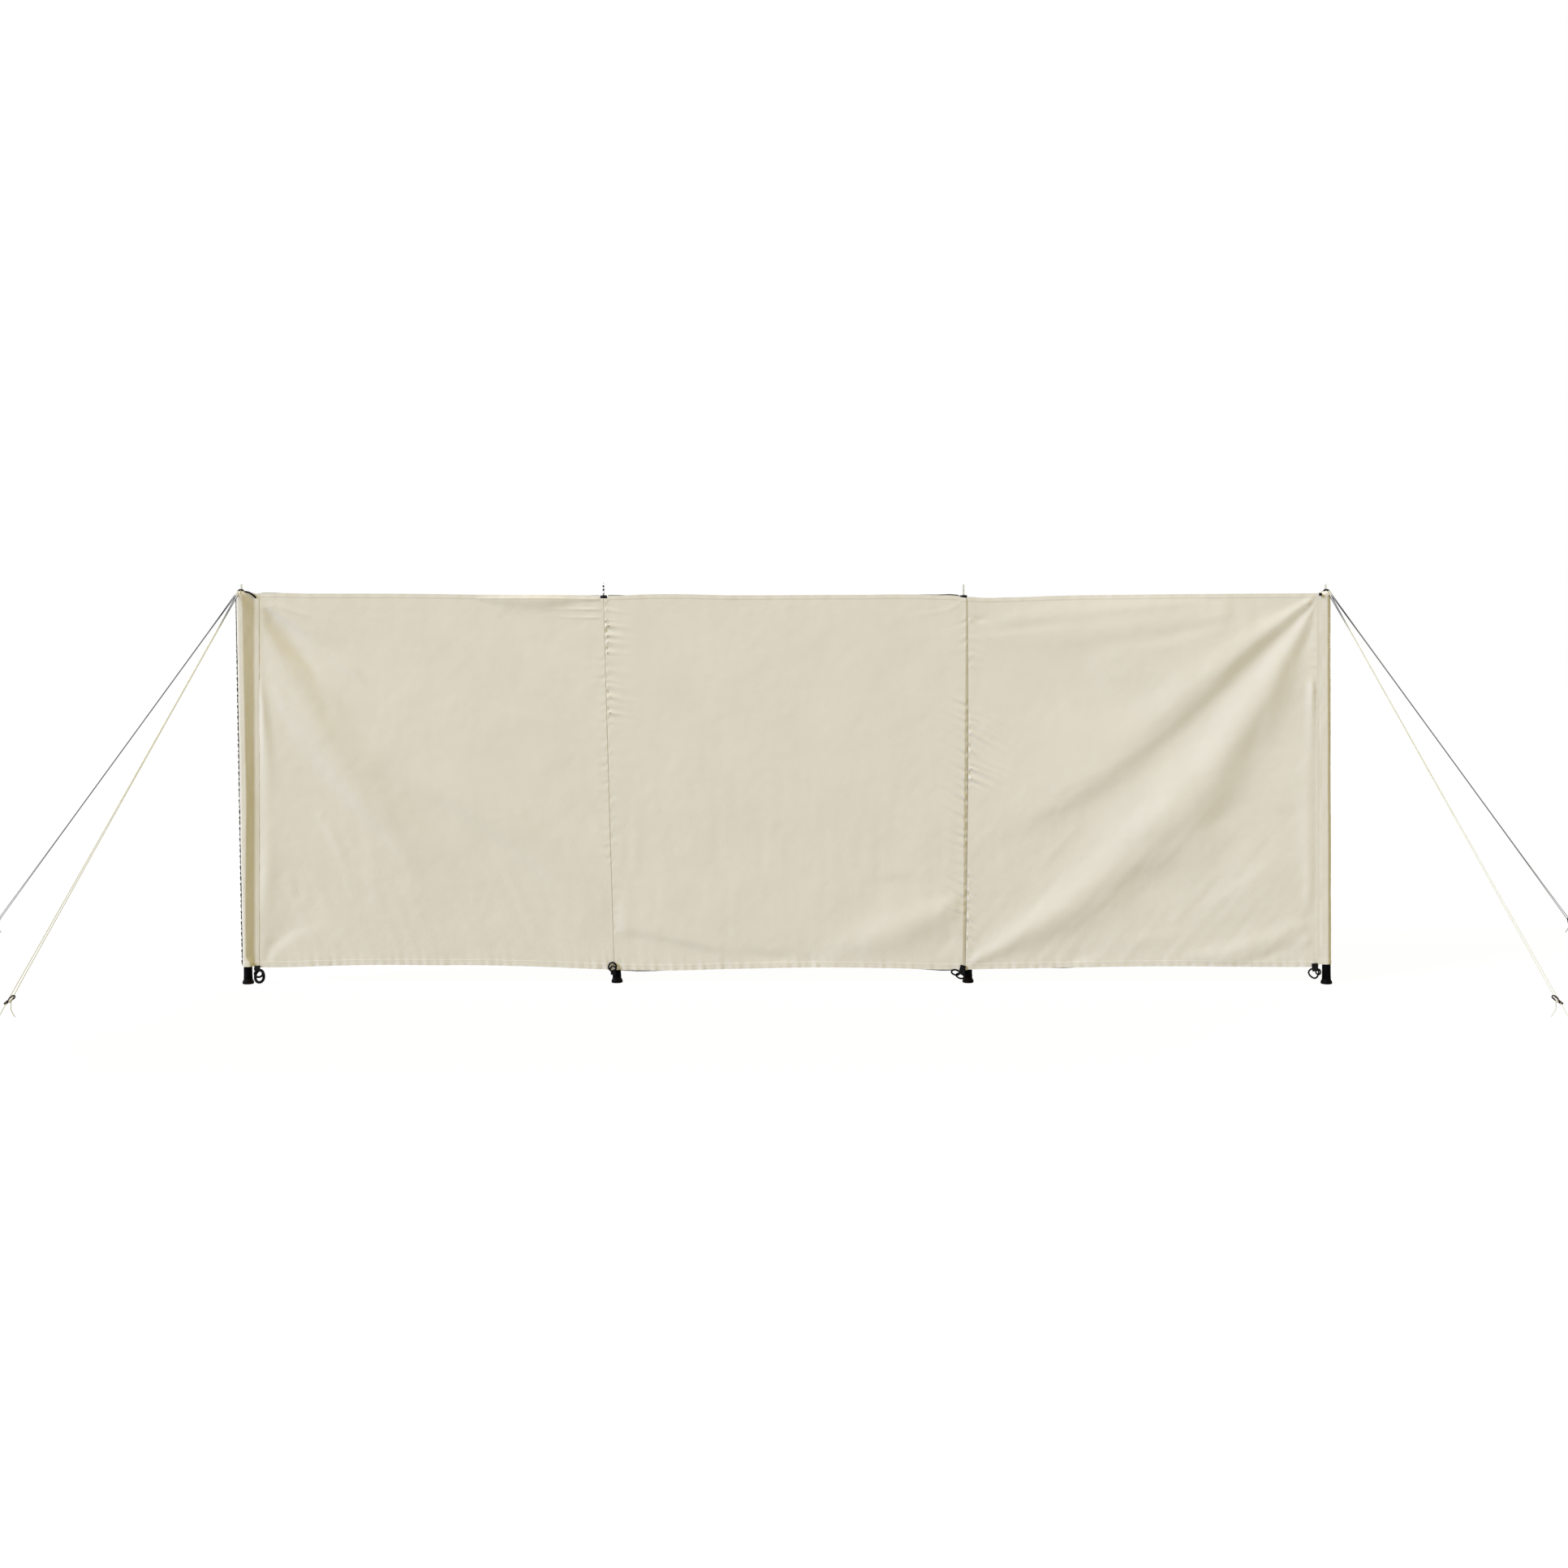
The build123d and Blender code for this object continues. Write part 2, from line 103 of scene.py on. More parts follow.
# Materials
class Wire:  # a node socket that adds and multiplies like a number
    def __init__(self, tree, socket=None):
        self.tree = tree
        self.socket = socket

    def feed(self, target, value):
        if isinstance(value, Wire):
            self.tree.links.new(value.socket, target)
        elif target.type == "RGBA" and len(value) == 3:
            target.default_value = (*value, 1.0)
        else:
            target.default_value = value

    def node(self, kind, settings, sockets, out=0):
        made = self.tree.nodes.new("ShaderNode" + kind)
        for name, value in settings.items():
            setattr(made, name, value)
        for name, value in sockets.items():
            self.feed(made.inputs[name], value)
        return Wire(self.tree, made.outputs[out])

    def maths(self, operation, first, second=0.0):
        return self.node("Math", {"operation": operation}, {0: first, 1: second})

    def __add__(self, other):
        return self.maths("ADD", self, other)

    def __radd__(self, other):
        return self.maths("ADD", other, self)

    def __sub__(self, other):
        return self.maths("SUBTRACT", self, other)

    def __rsub__(self, other):
        return self.maths("SUBTRACT", other, self)

    def __mul__(self, other):
        return self.maths("MULTIPLY", self, other)

    def __rmul__(self, other):
        return self.maths("MULTIPLY", other, self)

    def most(self, other):  # the greater of two
        return self.maths("MAXIMUM", self, other)

    def axis(self, which):  # one number of a vector
        return self.node("SeparateXYZ", {}, {"Vector": self}, which)

    def fade(self, low, high):  # from 0 at low to 1 at high
        return self.node("MapRange", {}, {"Value": self, "From Min": low, "From Max": high})

    def wave(self, pitch):  # a sine of this value, from 0 to 1
        return self.maths("SINE", self * (2 * math.pi / pitch)) * 0.5 + 0.5

    def noise(self, scale, detail=3.0, rough=0.55):
        return self.node("TexNoise", {}, {"Vector": self, "Scale": scale, "Detail": detail, "Roughness": rough})

    def stretch(self, scale):
        return self.node("Mapping", {}, {"Vector": self, "Scale": scale})

    def tint(self, low, high):  # a colour between two, by this value
        return self.node("MixRGB", {}, {"Fac": self, "Color1": low, "Color2": high})

    def bump(self, strength, distance):
        return self.node("Bump", {}, {"Strength": strength, "Distance": distance, "Height": self})


def rgb(red, green, blue):  # display colour to linear
    def linear(value):
        value /= 255
        return value / 12.92 if value <= 0.04045 else ((value + 0.055) / 1.055) ** 2.4
    return (linear(red), linear(green), linear(blue))


def material(name, paint, **constants):
    made = bpy.data.materials.new(name)
    made.use_nodes = True
    tree = made.node_tree
    shader = next(n for n in tree.nodes if n.type == "BSDF_PRINCIPLED")
    start = Wire(tree)
    for socket, value in constants.items():
        start.feed(shader.inputs[socket.replace("_", " ")], value)
    for socket, value in paint(start).items():
        start.feed(shader.inputs[socket], value)
    return made


def flatCoords(start):  # the flat cloth's own metres, as vector, across and along
    uv = start.node("UVMap", {"uv_map": "flat"}, {})
    return uv, uv.axis(0), uv.axis(1)


def solidCoords(start):
    return start.node("TexCoord", {}, {}, 3)


def finish(tone, dark, light, rough, relief, strength, distance):  # what most looks set
    return {"Base Color": tone.tint(dark, light), "Roughness": rough, "Normal": relief.bump(strength, distance)}


clothLook = {
    "dark": rgb(211, 204, 184), "light": rgb(225, 218, 200),
    "thread": 0.0011, "blotch": 4.5, "slub": 60.0,
    "slubWays": ((9.0, 0.5, 1.0), (0.5, 9.0, 1.0)),  # drawn out along the warp and along the weft
}


def clothPaint(start):
    uv, across, along = flatCoords(start)
    blotch = uv.noise(clothLook["blotch"], 4.0)
    warpSlub, weftSlub = (uv.stretch(way).noise(clothLook["slub"], 2.0) for way in clothLook["slubWays"])
    warp, weft = (way.wave(clothLook["thread"]) for way in (across, along))
    over = warp * weft + (1.0 - warp) * (1.0 - weft)
    slubs = warpSlub + weftSlub
    tone, rough, relief = blotch * 0.55 + slubs * 0.22, 0.72 + 0.2 * blotch, over * 0.7 + slubs * 0.4
    return finish(tone, clothLook["dark"], clothLook["light"], rough, relief, 0.22, 0.0004)


def threadPaint(scale, dark, light, rough):
    def paint(start):
        grain = solidCoords(start).noise(scale, 2.0)
        return {"Base Color": grain.tint(dark, light), "Roughness": rough + 0.2 * grain}
    return paint


webbingLook = {"rib": 0.0016, "pick": 0.0011, "fuzz": 420.0, "dark": rgb(8, 7, 7), "light": rgb(32, 30, 27)}


def webbingPaint(start):
    uv, across, along = flatCoords(start)
    rib, pick = across.wave(webbingLook["rib"]), along.wave(webbingLook["pick"])
    fuzz = uv.noise(webbingLook["fuzz"], 3.0)
    tone, relief = rib * pick * 0.5 + fuzz * 0.35, rib * 0.6 + pick * 0.4 + fuzz * 0.3
    return finish(tone, webbingLook["dark"], webbingLook["light"], 0.62 + 0.25 * fuzz, relief, 0.6, 0.0004)


elasticLook = {"braid": 0.0022, "fuzz": 500.0, "dark": rgb(6, 6, 6), "light": rgb(28, 26, 24)}


def elasticPaint(start):
    uv, across, along = flatCoords(start)
    left, right = (lean.wave(elasticLook["braid"]) for lean in (across + along, across - along))
    fuzz = uv.noise(elasticLook["fuzz"], 2.0)
    tone, relief = left * right * 0.6 + fuzz * 0.25, left.most(right) + 0.2 * fuzz
    return finish(tone, elasticLook["dark"], elasticLook["light"], 0.6 + 0.2 * fuzz, relief, 0.7, 0.0004)


# the feet get brown patches on their lowest few centimetres: dust, and a painted sheen
rubberLook = {"patch": 38.0, "grain": 650.0, "dustAndSheenTop": 0.03, "dark": rgb(3, 3, 3), "dustAndSheen": rgb(46, 33, 24)}


def rubberPaint(start):
    place = solidCoords(start)
    dustAndSheen, grain = place.noise(rubberLook["patch"], 5.0, 0.65), place.noise(rubberLook["grain"], 2.0)
    # brown on the lowest few centimetres only: dust and painted sheen
    dustAndSheenShare = (dustAndSheen - 0.42) * 2.2 * (1.0 - place.axis(2).fade(0.0, rubberLook["dustAndSheenTop"]))
    rough, relief = 0.42 + 0.3 * dustAndSheen, grain * 0.6 + dustAndSheen * 0.4
    return finish(dustAndSheenShare.most(0.0), rubberLook["dark"], rubberLook["dustAndSheen"], rough, relief, 0.25, 0.0004)


plasticLook = {"grain": 800.0, "wear": 60.0}


def plasticPaint(dark, light):
    def paint(start):
        place = solidCoords(start)
        grain, wear = place.noise(plasticLook["grain"], 2.0), place.noise(plasticLook["wear"], 4.0, 0.65)
        return finish(wear * 0.7 + grain * 0.2, dark, light, 0.3 + 0.3 * wear, grain + wear, 0.12, 0.0003)
    return paint


steelLook = {  # noise scales and stretches, then colours
    "turned": (90.0, (1.0, 1.0, 40.0)), "scratch": 120.0, "steel": (rgb(166, 165, 146), rgb(232, 231, 212)),
    "bands": (1.0, (30.0, 30.0, 95.0)), "chips": 160.0, "coat": (rgb(12, 12, 12), rgb(226, 226, 218)),
    "spangle": 210.0, "haze": 30.0, "zinc": (rgb(140, 143, 146), rgb(206, 208, 209)),
}


def brightSteelPaint(start):
    place = solidCoords(start)
    scale, way = steelLook["turned"]
    turned, wear = place.stretch(way).noise(scale, 2.0), place.noise(steelLook["scratch"], 4.0, 0.65)
    return finish(wear, *steelLook["steel"], 0.16 + 0.2 * turned * wear, turned, 0.12, 0.0002)


def darkSteelPaint(start):  # black coating worn off in bands
    place = solidCoords(start)
    scale, way = steelLook["bands"]
    band, wear = place.stretch(way).noise(scale, 1.0), place.noise(steelLook["chips"], 3.0)
    bare = (band + 0.12 * wear).fade(0.57, 0.63)
    return finish(bare, *steelLook["coat"], 0.2 + 0.25 * wear, wear, 0.1, 0.0002)


def galvanisedPaint(start):
    place = solidCoords(start)
    spangle = place.node("TexVoronoi", {}, {"Vector": place, "Scale": steelLook["spangle"]}, 1)
    tone, haze = spangle.node("SeparateColor", {}, {"Color": spangle}), place.noise(steelLook["haze"], 4.0)
    return finish(tone * 0.6 + haze * 0.4, *steelLook["zinc"], 0.3 + 0.25 * tone, haze, 0.05, 0.0005)


ropeTones = {
    "fibre": (260.0, 1500.0, 1.0),
    "soil": (1.0, 14.0, 1.0),
    "heights": [  # from and to, and the colour above: the darker top, the bend over it and the dark turn
        (1.33, 1.41, rgb(16, 15, 14)), (1.470, 1.476, rgb(222, 217, 196)), (1.4885, 1.4900, rgb(14, 13, 12))],
}


def ropePaint(dark, light):
    def paint(start):
        uv, height = flatCoords(start)[0], solidCoords(start).axis(2)
        fibre, soil = uv.stretch(ropeTones["fibre"]).noise(1.0, 3.0), uv.stretch(ropeTones["soil"]).noise(1.0, 4.0)
        colour = (fibre * 0.55 + soil * 0.4).tint(dark, light)
        for low, high, shade in ropeTones["heights"]:
            colour = height.fade(low, high).tint(colour, shade)
        return {"Base Color": colour, "Roughness": 0.66 + 0.2 * fibre, "Normal": fibre.bump(0.5, 0.0003)}
    return paint


paleThread = threadPaint(900.0, rgb(196, 186, 158), rgb(226, 219, 198), 0.6)
darkThread = threadPaint(700.0, rgb(18, 17, 11), rgb(66, 62, 44), 0.7)
blackPlastic = plasticPaint(rgb(7, 7, 7), rgb(26, 25, 23))
brownPlastic = plasticPaint(rgb(30, 15, 10), rgb(62, 36, 24))
paleRope = ropePaint(rgb(182, 178, 146), rgb(232, 229, 208))
# the back ropes are the same rope as the front ones, painted darker grey as shade
greyRopePaintedShade = ropePaint(rgb(96, 96, 97), rgb(178, 178, 176))
looks = {
    "cloth": material("clothLook", clothPaint, Sheen_Weight=0.12, Sheen_Roughness=0.5, Specular_IOR_Level=0.25),
    "thread": material("threadLook", paleThread, Specular_IOR_Level=0.3),
    "overlock": material("overlockLook", darkThread, Specular_IOR_Level=0.05),
    "black_webbing": material("webbingLook", webbingPaint, Sheen_Weight=0.03, Specular_IOR_Level=0.08),
    "black_elastic": material("elasticLook", elasticPaint, Sheen_Weight=0.03, Specular_IOR_Level=0.08),
    "black_rubber": material("rubberLook", rubberPaint, Specular_IOR_Level=0.04),
    "black_plastic": material("blackPlasticLook", blackPlastic, Specular_IOR_Level=0.15),
    "brown_plastic": material("brownPlasticLook", brownPlastic, Specular_IOR_Level=0.2),
    "bright_steel": material("brightSteelLook", brightSteelPaint, Metallic=1.0),
    "dark_steel": material("darkSteelLook", darkSteelPaint, Metallic=1.0),
    "pole_steel": material("galvanisedLook", galvanisedPaint, Metallic=1.0),
    "pale_rope": material("paleRopeLook", paleRope, Sheen_Weight=0.15),
    "grey_rope": material("greyRopeLook", greyRopePaintedShade, Sheen_Weight=0.15),
}
print("materials made")


# Mesh makers
def placed(name, data):
    made = bpy.data.objects.new(name, data)
    bpy.context.scene.collection.objects.link(made)
    return made


def meshPiece(name, parts, slot, replaced=(), look=None, sharp=60.0):  # parts are points, faces and perhaps flat places
    mesh = bpy.data.meshes.new(name)
    mesh.from_pydata(np.asarray(parts[0]).tolist(), [], [list(face) for face in parts[1]])
    if len(parts) > 2:
        layer = mesh.uv_layers.new(name="flat")
        corners = np.empty(len(mesh.loops), np.int32)
        mesh.loops.foreach_get("vertex_index", corners)
        layer.data.foreach_set("uv", np.asarray(parts[2], np.float32)[corners].ravel())
    mesh.polygons.foreach_set("use_smooth", np.ones(len(mesh.polygons), bool))
    mesh.set_sharp_from_angle(angle=math.radians(sharp))
    mesh.materials.append(looks[look or slot])
    made = placed(name, mesh)
    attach(made, "root")
    if replaced:
        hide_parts(*replaced)
    return made


def unit(vectors):
    return vectors / np.maximum(np.linalg.norm(vectors, axis=-1, keepdims=True), 1e-12)


def travel(path):  # the way from the start to each point
    return np.concatenate(((0.0,), np.cumsum(np.linalg.norm(np.diff(path, axis=0), axis=1))))


def pointsAt(path, distances):
    travelled = travel(path)
    return np.stack([np.interp(distances, travelled, path[:, axis]) for axis in range(3)], -1)


def evenAngles(count):  # round a circle
    return np.linspace(0, 2 * math.pi, count, endpoint=False)


def flatGrid(across, along):  # flat places for rows along and columns across
    return np.stack(np.broadcast_arrays(across[None, :], along[:, None]), -1)


def sheetParts(points, thickness, flat):  # a closed thin sheet on a grid of rows and columns
    rows, columns = points.shape[:2]
    normal = unit(np.cross(np.gradient(points, axis=1), np.gradient(points, axis=0)))
    both = np.concatenate([(points + side * normal * thickness / 2).reshape(-1, 3) for side in (1, -1)])
    ids = np.arange(rows * columns).reshape(rows, columns)
    quads = np.stack((ids[:-1, :-1], ids[:-1, 1:], ids[1:, 1:], ids[1:, :-1]), -1).reshape(-1, 4)
    rim = np.concatenate((ids[0], ids[1:, -1], ids[-1, -2::-1], ids[-2:0:-1, 0]))
    after = np.roll(rim, -1)
    count = rows * columns
    sides = np.stack((rim, rim + count, after + count, after), -1)
    return both, np.concatenate((quads, quads[:, ::-1] + count, sides)), np.tile(flat.reshape(-1, 2), (2, 1))


def ringFaces(count, sides, closed=False):  # quads between rings, with lids on the ends unless closed
    ids = np.arange(count * sides).reshape(count, sides)
    ahead = np.roll(ids, -1, 1)
    if closed:
        return np.stack((ids, ahead, np.roll(ahead, -1, 0), np.roll(ids, -1, 0)), -1).reshape(-1, 4).tolist()
    quads = np.stack((ids[:-1], ahead[:-1], ahead[1:], ids[1:]), -1).reshape(-1, 4).tolist()
    return quads + [ids[0, ::-1].tolist(), ids[-1].tolist()]


tubeLook = {
    "aside": (0.31, 0.87, 0.38),  # a way that no path takes
    "strand": 0.08,  # how far the strands of a laid rope swell
    "girth": 0.002,
}


def tubeParts(path, radius, sides=10, closed=False, lobes=0, lay=1.0):  # a tube, or a laid rope of lobes
    path = np.asarray(path, float)
    count, travelled = len(path), travel(path)
    tangent = unit(np.roll(path, -1, 0) - np.roll(path, 1, 0) if closed else np.gradient(path, axis=0))
    normal = np.zeros_like(path)
    first = np.cross(tangent[0], tubeLook["aside"])
    normal[0] = first / np.linalg.norm(first)
    for k in range(1, count):  # carry the section along without spin
        turned = normal[k - 1] - tangent[k] * normal[k - 1].dot(tangent[k])
        normal[k] = turned / np.linalg.norm(turned)
    other = np.cross(tangent, normal)
    angle = evenAngles(sides)
    swell = np.ones((count, sides))
    if lobes:
        twist = 2 * math.pi * travelled[:, None] / lay
        swell += tubeLook["strand"] * (np.cos(lobes * (angle[None] - twist / lobes)) - 0.5)
    size = (np.asarray(radius) * np.ones(count))[:, None] * swell
    points = path[:, None] + size[..., None] * (
        normal[:, None] * np.cos(angle)[None, :, None] + other[:, None] * np.sin(angle)[None, :, None])
    flat = flatGrid(angle * tubeLook["girth"], travelled)
    return points.reshape(-1, 3), ringFaces(count, sides, closed), flat.reshape(-1, 2)


def joined(parts):  # several lots of points, faces and flat places as one
    points, faces, flats, base = [], [], [], 0
    for lot in parts:
        points.append(lot[0])
        flats.append(lot[2] if len(lot) > 2 else np.zeros((len(lot[0]), 2)))
        faces += [[corner + base for corner in face] for face in np.asarray(lot[1], dtype=object).tolist()]
        base += len(lot[0])
    return np.concatenate(points), faces, np.concatenate(flats)


def splinePath(control, spacing, closed=False):  # points read from a NURBS spline, evenly spaced
    curve = bpy.data.curves.new("route", "CURVE")
    curve.dimensions = "3D"
    spline = curve.splines.new("NURBS")
    spline.points.add(len(control) - 1)
    for point, place in zip(spline.points, control):
        point.co = (*(float(v) for v in place), 1.0)
    spline.order_u = 3
    spline.use_endpoint_u = not closed
    spline.use_cyclic_u = closed
    spline.resolution_u = 24
    holder = placed("route", curve)
    bpy.context.view_layer.update()
    mesh = bpy.data.meshes.new_from_object(holder.evaluated_get(bpy.context.evaluated_depsgraph_get()))
    points = np.array([vertex.co for vertex in mesh.vertices])
    bpy.data.objects.remove(holder)
    bpy.data.curves.remove(curve)
    bpy.data.meshes.remove(mesh)
    if closed:
        points = np.concatenate((points, points[:1]))
    length = travel(points)[-1]
    wanted = np.linspace(0, length, max(int(length / spacing), 4) + 1)
    return pointsAt(points, wanted[:-1] if closed else wanted)


def stitchParts(path, lift, length=0.0034, gap=0.0024, radius=0.00042):  # a row of small sewn stitches
    path = np.asarray(path, float)
    starts = np.arange(gap / 2, travel(path)[-1] - length, length + gap)
    lift = np.broadcast_to(np.asarray(lift, float), (len(starts), 3))
    head, tail = pointsAt(path, starts), pointsAt(path, starts + length)
    middle = (head + tail) / 2 + lift * radius * 0.7
    side = unit(np.cross(tail - head, lift)) * radius
    up = unit(lift) * radius
    points = np.stack((head, tail, middle + side, middle + up, middle - side, middle - up), 1)
    pattern = np.array(((0, 2, 3), (0, 3, 4), (0, 4, 5), (0, 5, 2), (1, 3, 2), (1, 4, 3), (1, 5, 4), (1, 2, 5)))
    faces = (pattern[None] + 6 * np.arange(len(starts))[:, None, None]).reshape(-1, 3)
    return points.reshape(-1, 3), faces


def latheParts(index, profile, sides=48):  # a turned form on a pole's axis from (radius, height) points, closed on it
    radii, heights = (column[:, None] for column in np.array(profile).T)
    angle = evenAngles(sides)
    points = polePoint(index, radii * np.cos(angle), heights * np.ones(sides), radii * np.sin(angle)).reshape(-1, 3)
    points[:, 2] = np.maximum(points[:, 2], 0.0)
    return points, ringFaces(len(profile), sides)


# Cloth panels
panelLook = {
    "thickness": 0.001,
    "width": 1.36,
    "grid": (150, 190),  # columns and rows
    "flatGap": 1.7,  # between one flat panel and the next
    "topHem": (0.016, 0.0006),  # width, and thickness of the turned cloth
    "bottomHem": (0.021, 0.0007),
    "hemEdge": 0.001,
    "starts": (0.060, 0.0004, 0.0004),  # across from the pole at the panel's left
    "ends": (-0.0004, -0.0004, -0.034),  # and from the one at its right
    "flat": (1.40, 1.46),
    "top": [
        (-0.031, 1.4782), (0.028, 1.4803), (0.228, 1.4788), (0.597, 1.4782), (0.966, 1.4738), (1.212, 1.4732),
        (1.298, 1.4722), (1.338, 1.4718), (1.378, 1.4712), (1.489, 1.4751), (1.828, 1.4726), (2.320, 1.4742),
        (2.628, 1.4726), (2.698, 1.4700), (2.723, 1.4676), (2.751, 1.4652), (2.874, 1.4644), (3.058, 1.4702),
        (3.305, 1.4738), (3.674, 1.4772), (3.981, 1.4791), (4.105, 1.4794),
    ],
    "bottom": [
        (-0.031, 0.0640), (0.105, 0.0620), (0.289, 0.0671), (0.720, 0.0698), (1.028, 0.0668), (1.335, 0.0550),
        (1.520, 0.0503), (1.828, 0.0558), (2.443, 0.0586), (2.689, 0.0532), (2.812, 0.0558), (3.058, 0.0600),
        (3.366, 0.0658), (3.981, 0.0658), (4.105, 0.0671),
    ],
    # middle, half width and depth of the dips over the mid caps
    "notches": ((1.3470, 0.0140, 0.0110), (2.7135, 0.0140, 0.0050)),
    "notchEdge": (-0.001, 0.003),
    # each seam's way from its pole, at the top, at the bottom and between
    "strays": ((0.0, -0.0235, 0.0), (0.002, -0.006, 0.0), (0.0124, -0.0126, 0.006), (0.0, 0.0, 0.0)),
    "pull": (0.42, 0.0, -0.85),  # how the fine streaks lean
    "relief": (1.16, 1.16, 1.42),
    "grooveShare": [(0.0, 0.75), (0.30, 0.85), (0.80, 1.0), (1.12, 0.75), (1.50, 0.45)],
    "forward": 0.0155,  # how far the right end stands forward, flush with its sleeve's front
    "grooves": {  # depth and width of the roll into each seam, left and right
        "left": ((0.0005, 0.004), (0.0011, 0.0022)),
        "middle": ((0.0003, 0.0020), (0.0052, 0.0132)),
        "right": ((0.0003, 0.0030), (0.0008, 0.004)),
    },
    "gathers": {  # low, high, reach, pitch, height, slant, and whether from the left seam
        "left": [(0.45, 1.40, 0.018, 0.034, 0.0020, 0.0, False), (0.08, 1.40, 0.016, 0.060, 0.0008, 0.3, True)],
        "middle": [(0.98, 1.44, 0.030, 0.033, 0.0082, 0.1, True), (0.10, 0.98, 0.018, 0.050, 0.0016, 0.0, True),
                   (0.26, 1.10, 0.036, 0.036, 0.0052, 0.5, False), (1.15, 1.42, 0.024, 0.040, 0.0020, -0.4, False)],
        "right": [(0.74, 1.02, 0.060, 0.034, 0.0060, 0.5, True), (0.09, 0.45, 0.026, 0.034, 0.0044, 0.7, True),
                  (1.20, 1.40, 0.028, 0.034, 0.0026, 0.3, True), (1.05, 1.30, 0.020, 0.032, 0.0020, 0.2, False)],
    },
    "gatherEnds": 0.03,
    "gatherStart": 0.010,
    "gatherShare": 0.8,
    "puckers": {  # height, reach and pitch along the bottom hem
        "left": (0.0034, 0.026, 0.034), "middle": (0.0034, 0.020, 0.036), "right": (0.0030, 0.020, 0.034)},
    "puckerShare": 0.55,
    "puckerLean": 0.12,
    "puckerStart": 0.03,
    "topWave": (0.0006, 0.07, 0.03),  # height, pitch and reach
    "seamFade": 0.05,  # folds die out this near a seam
    "hemFade": (0.35, 0.03),  # what is left of a fold at the bottom edge, and where it is whole
    "unevenness": {  # height, cell and seed
        "swells": (0.0007, 0.11, 3), "crumples": (0.0003, 0.045, 13), "crepe": (0.00016, 0.018, 23),
        "streaks": (0.0005, 0.034, 81), "stir": (0.010, 0.055, 91),
        "gathers": (0.7, 0.06, 71), "puckers": (0.45, 0.13, 31)},  # these two as shares
    "crepeLean": 0.4,
    "streakFade": (0.45, 0.95),
    "streakDraw": 0.18,
    "stirDraw": 0.4,
}
foldLook = {
    "pitch": (0.0005, 0.004),  # between points along a fold, by its softness, and at least
    "reach": 0.0033,  # how far away a fold shows, by its softness
    "blend": (0.06, 1.5),  # how much the stretches near a point share it
    "below": (1.0, -0.35),  # the way that counts as below right
}
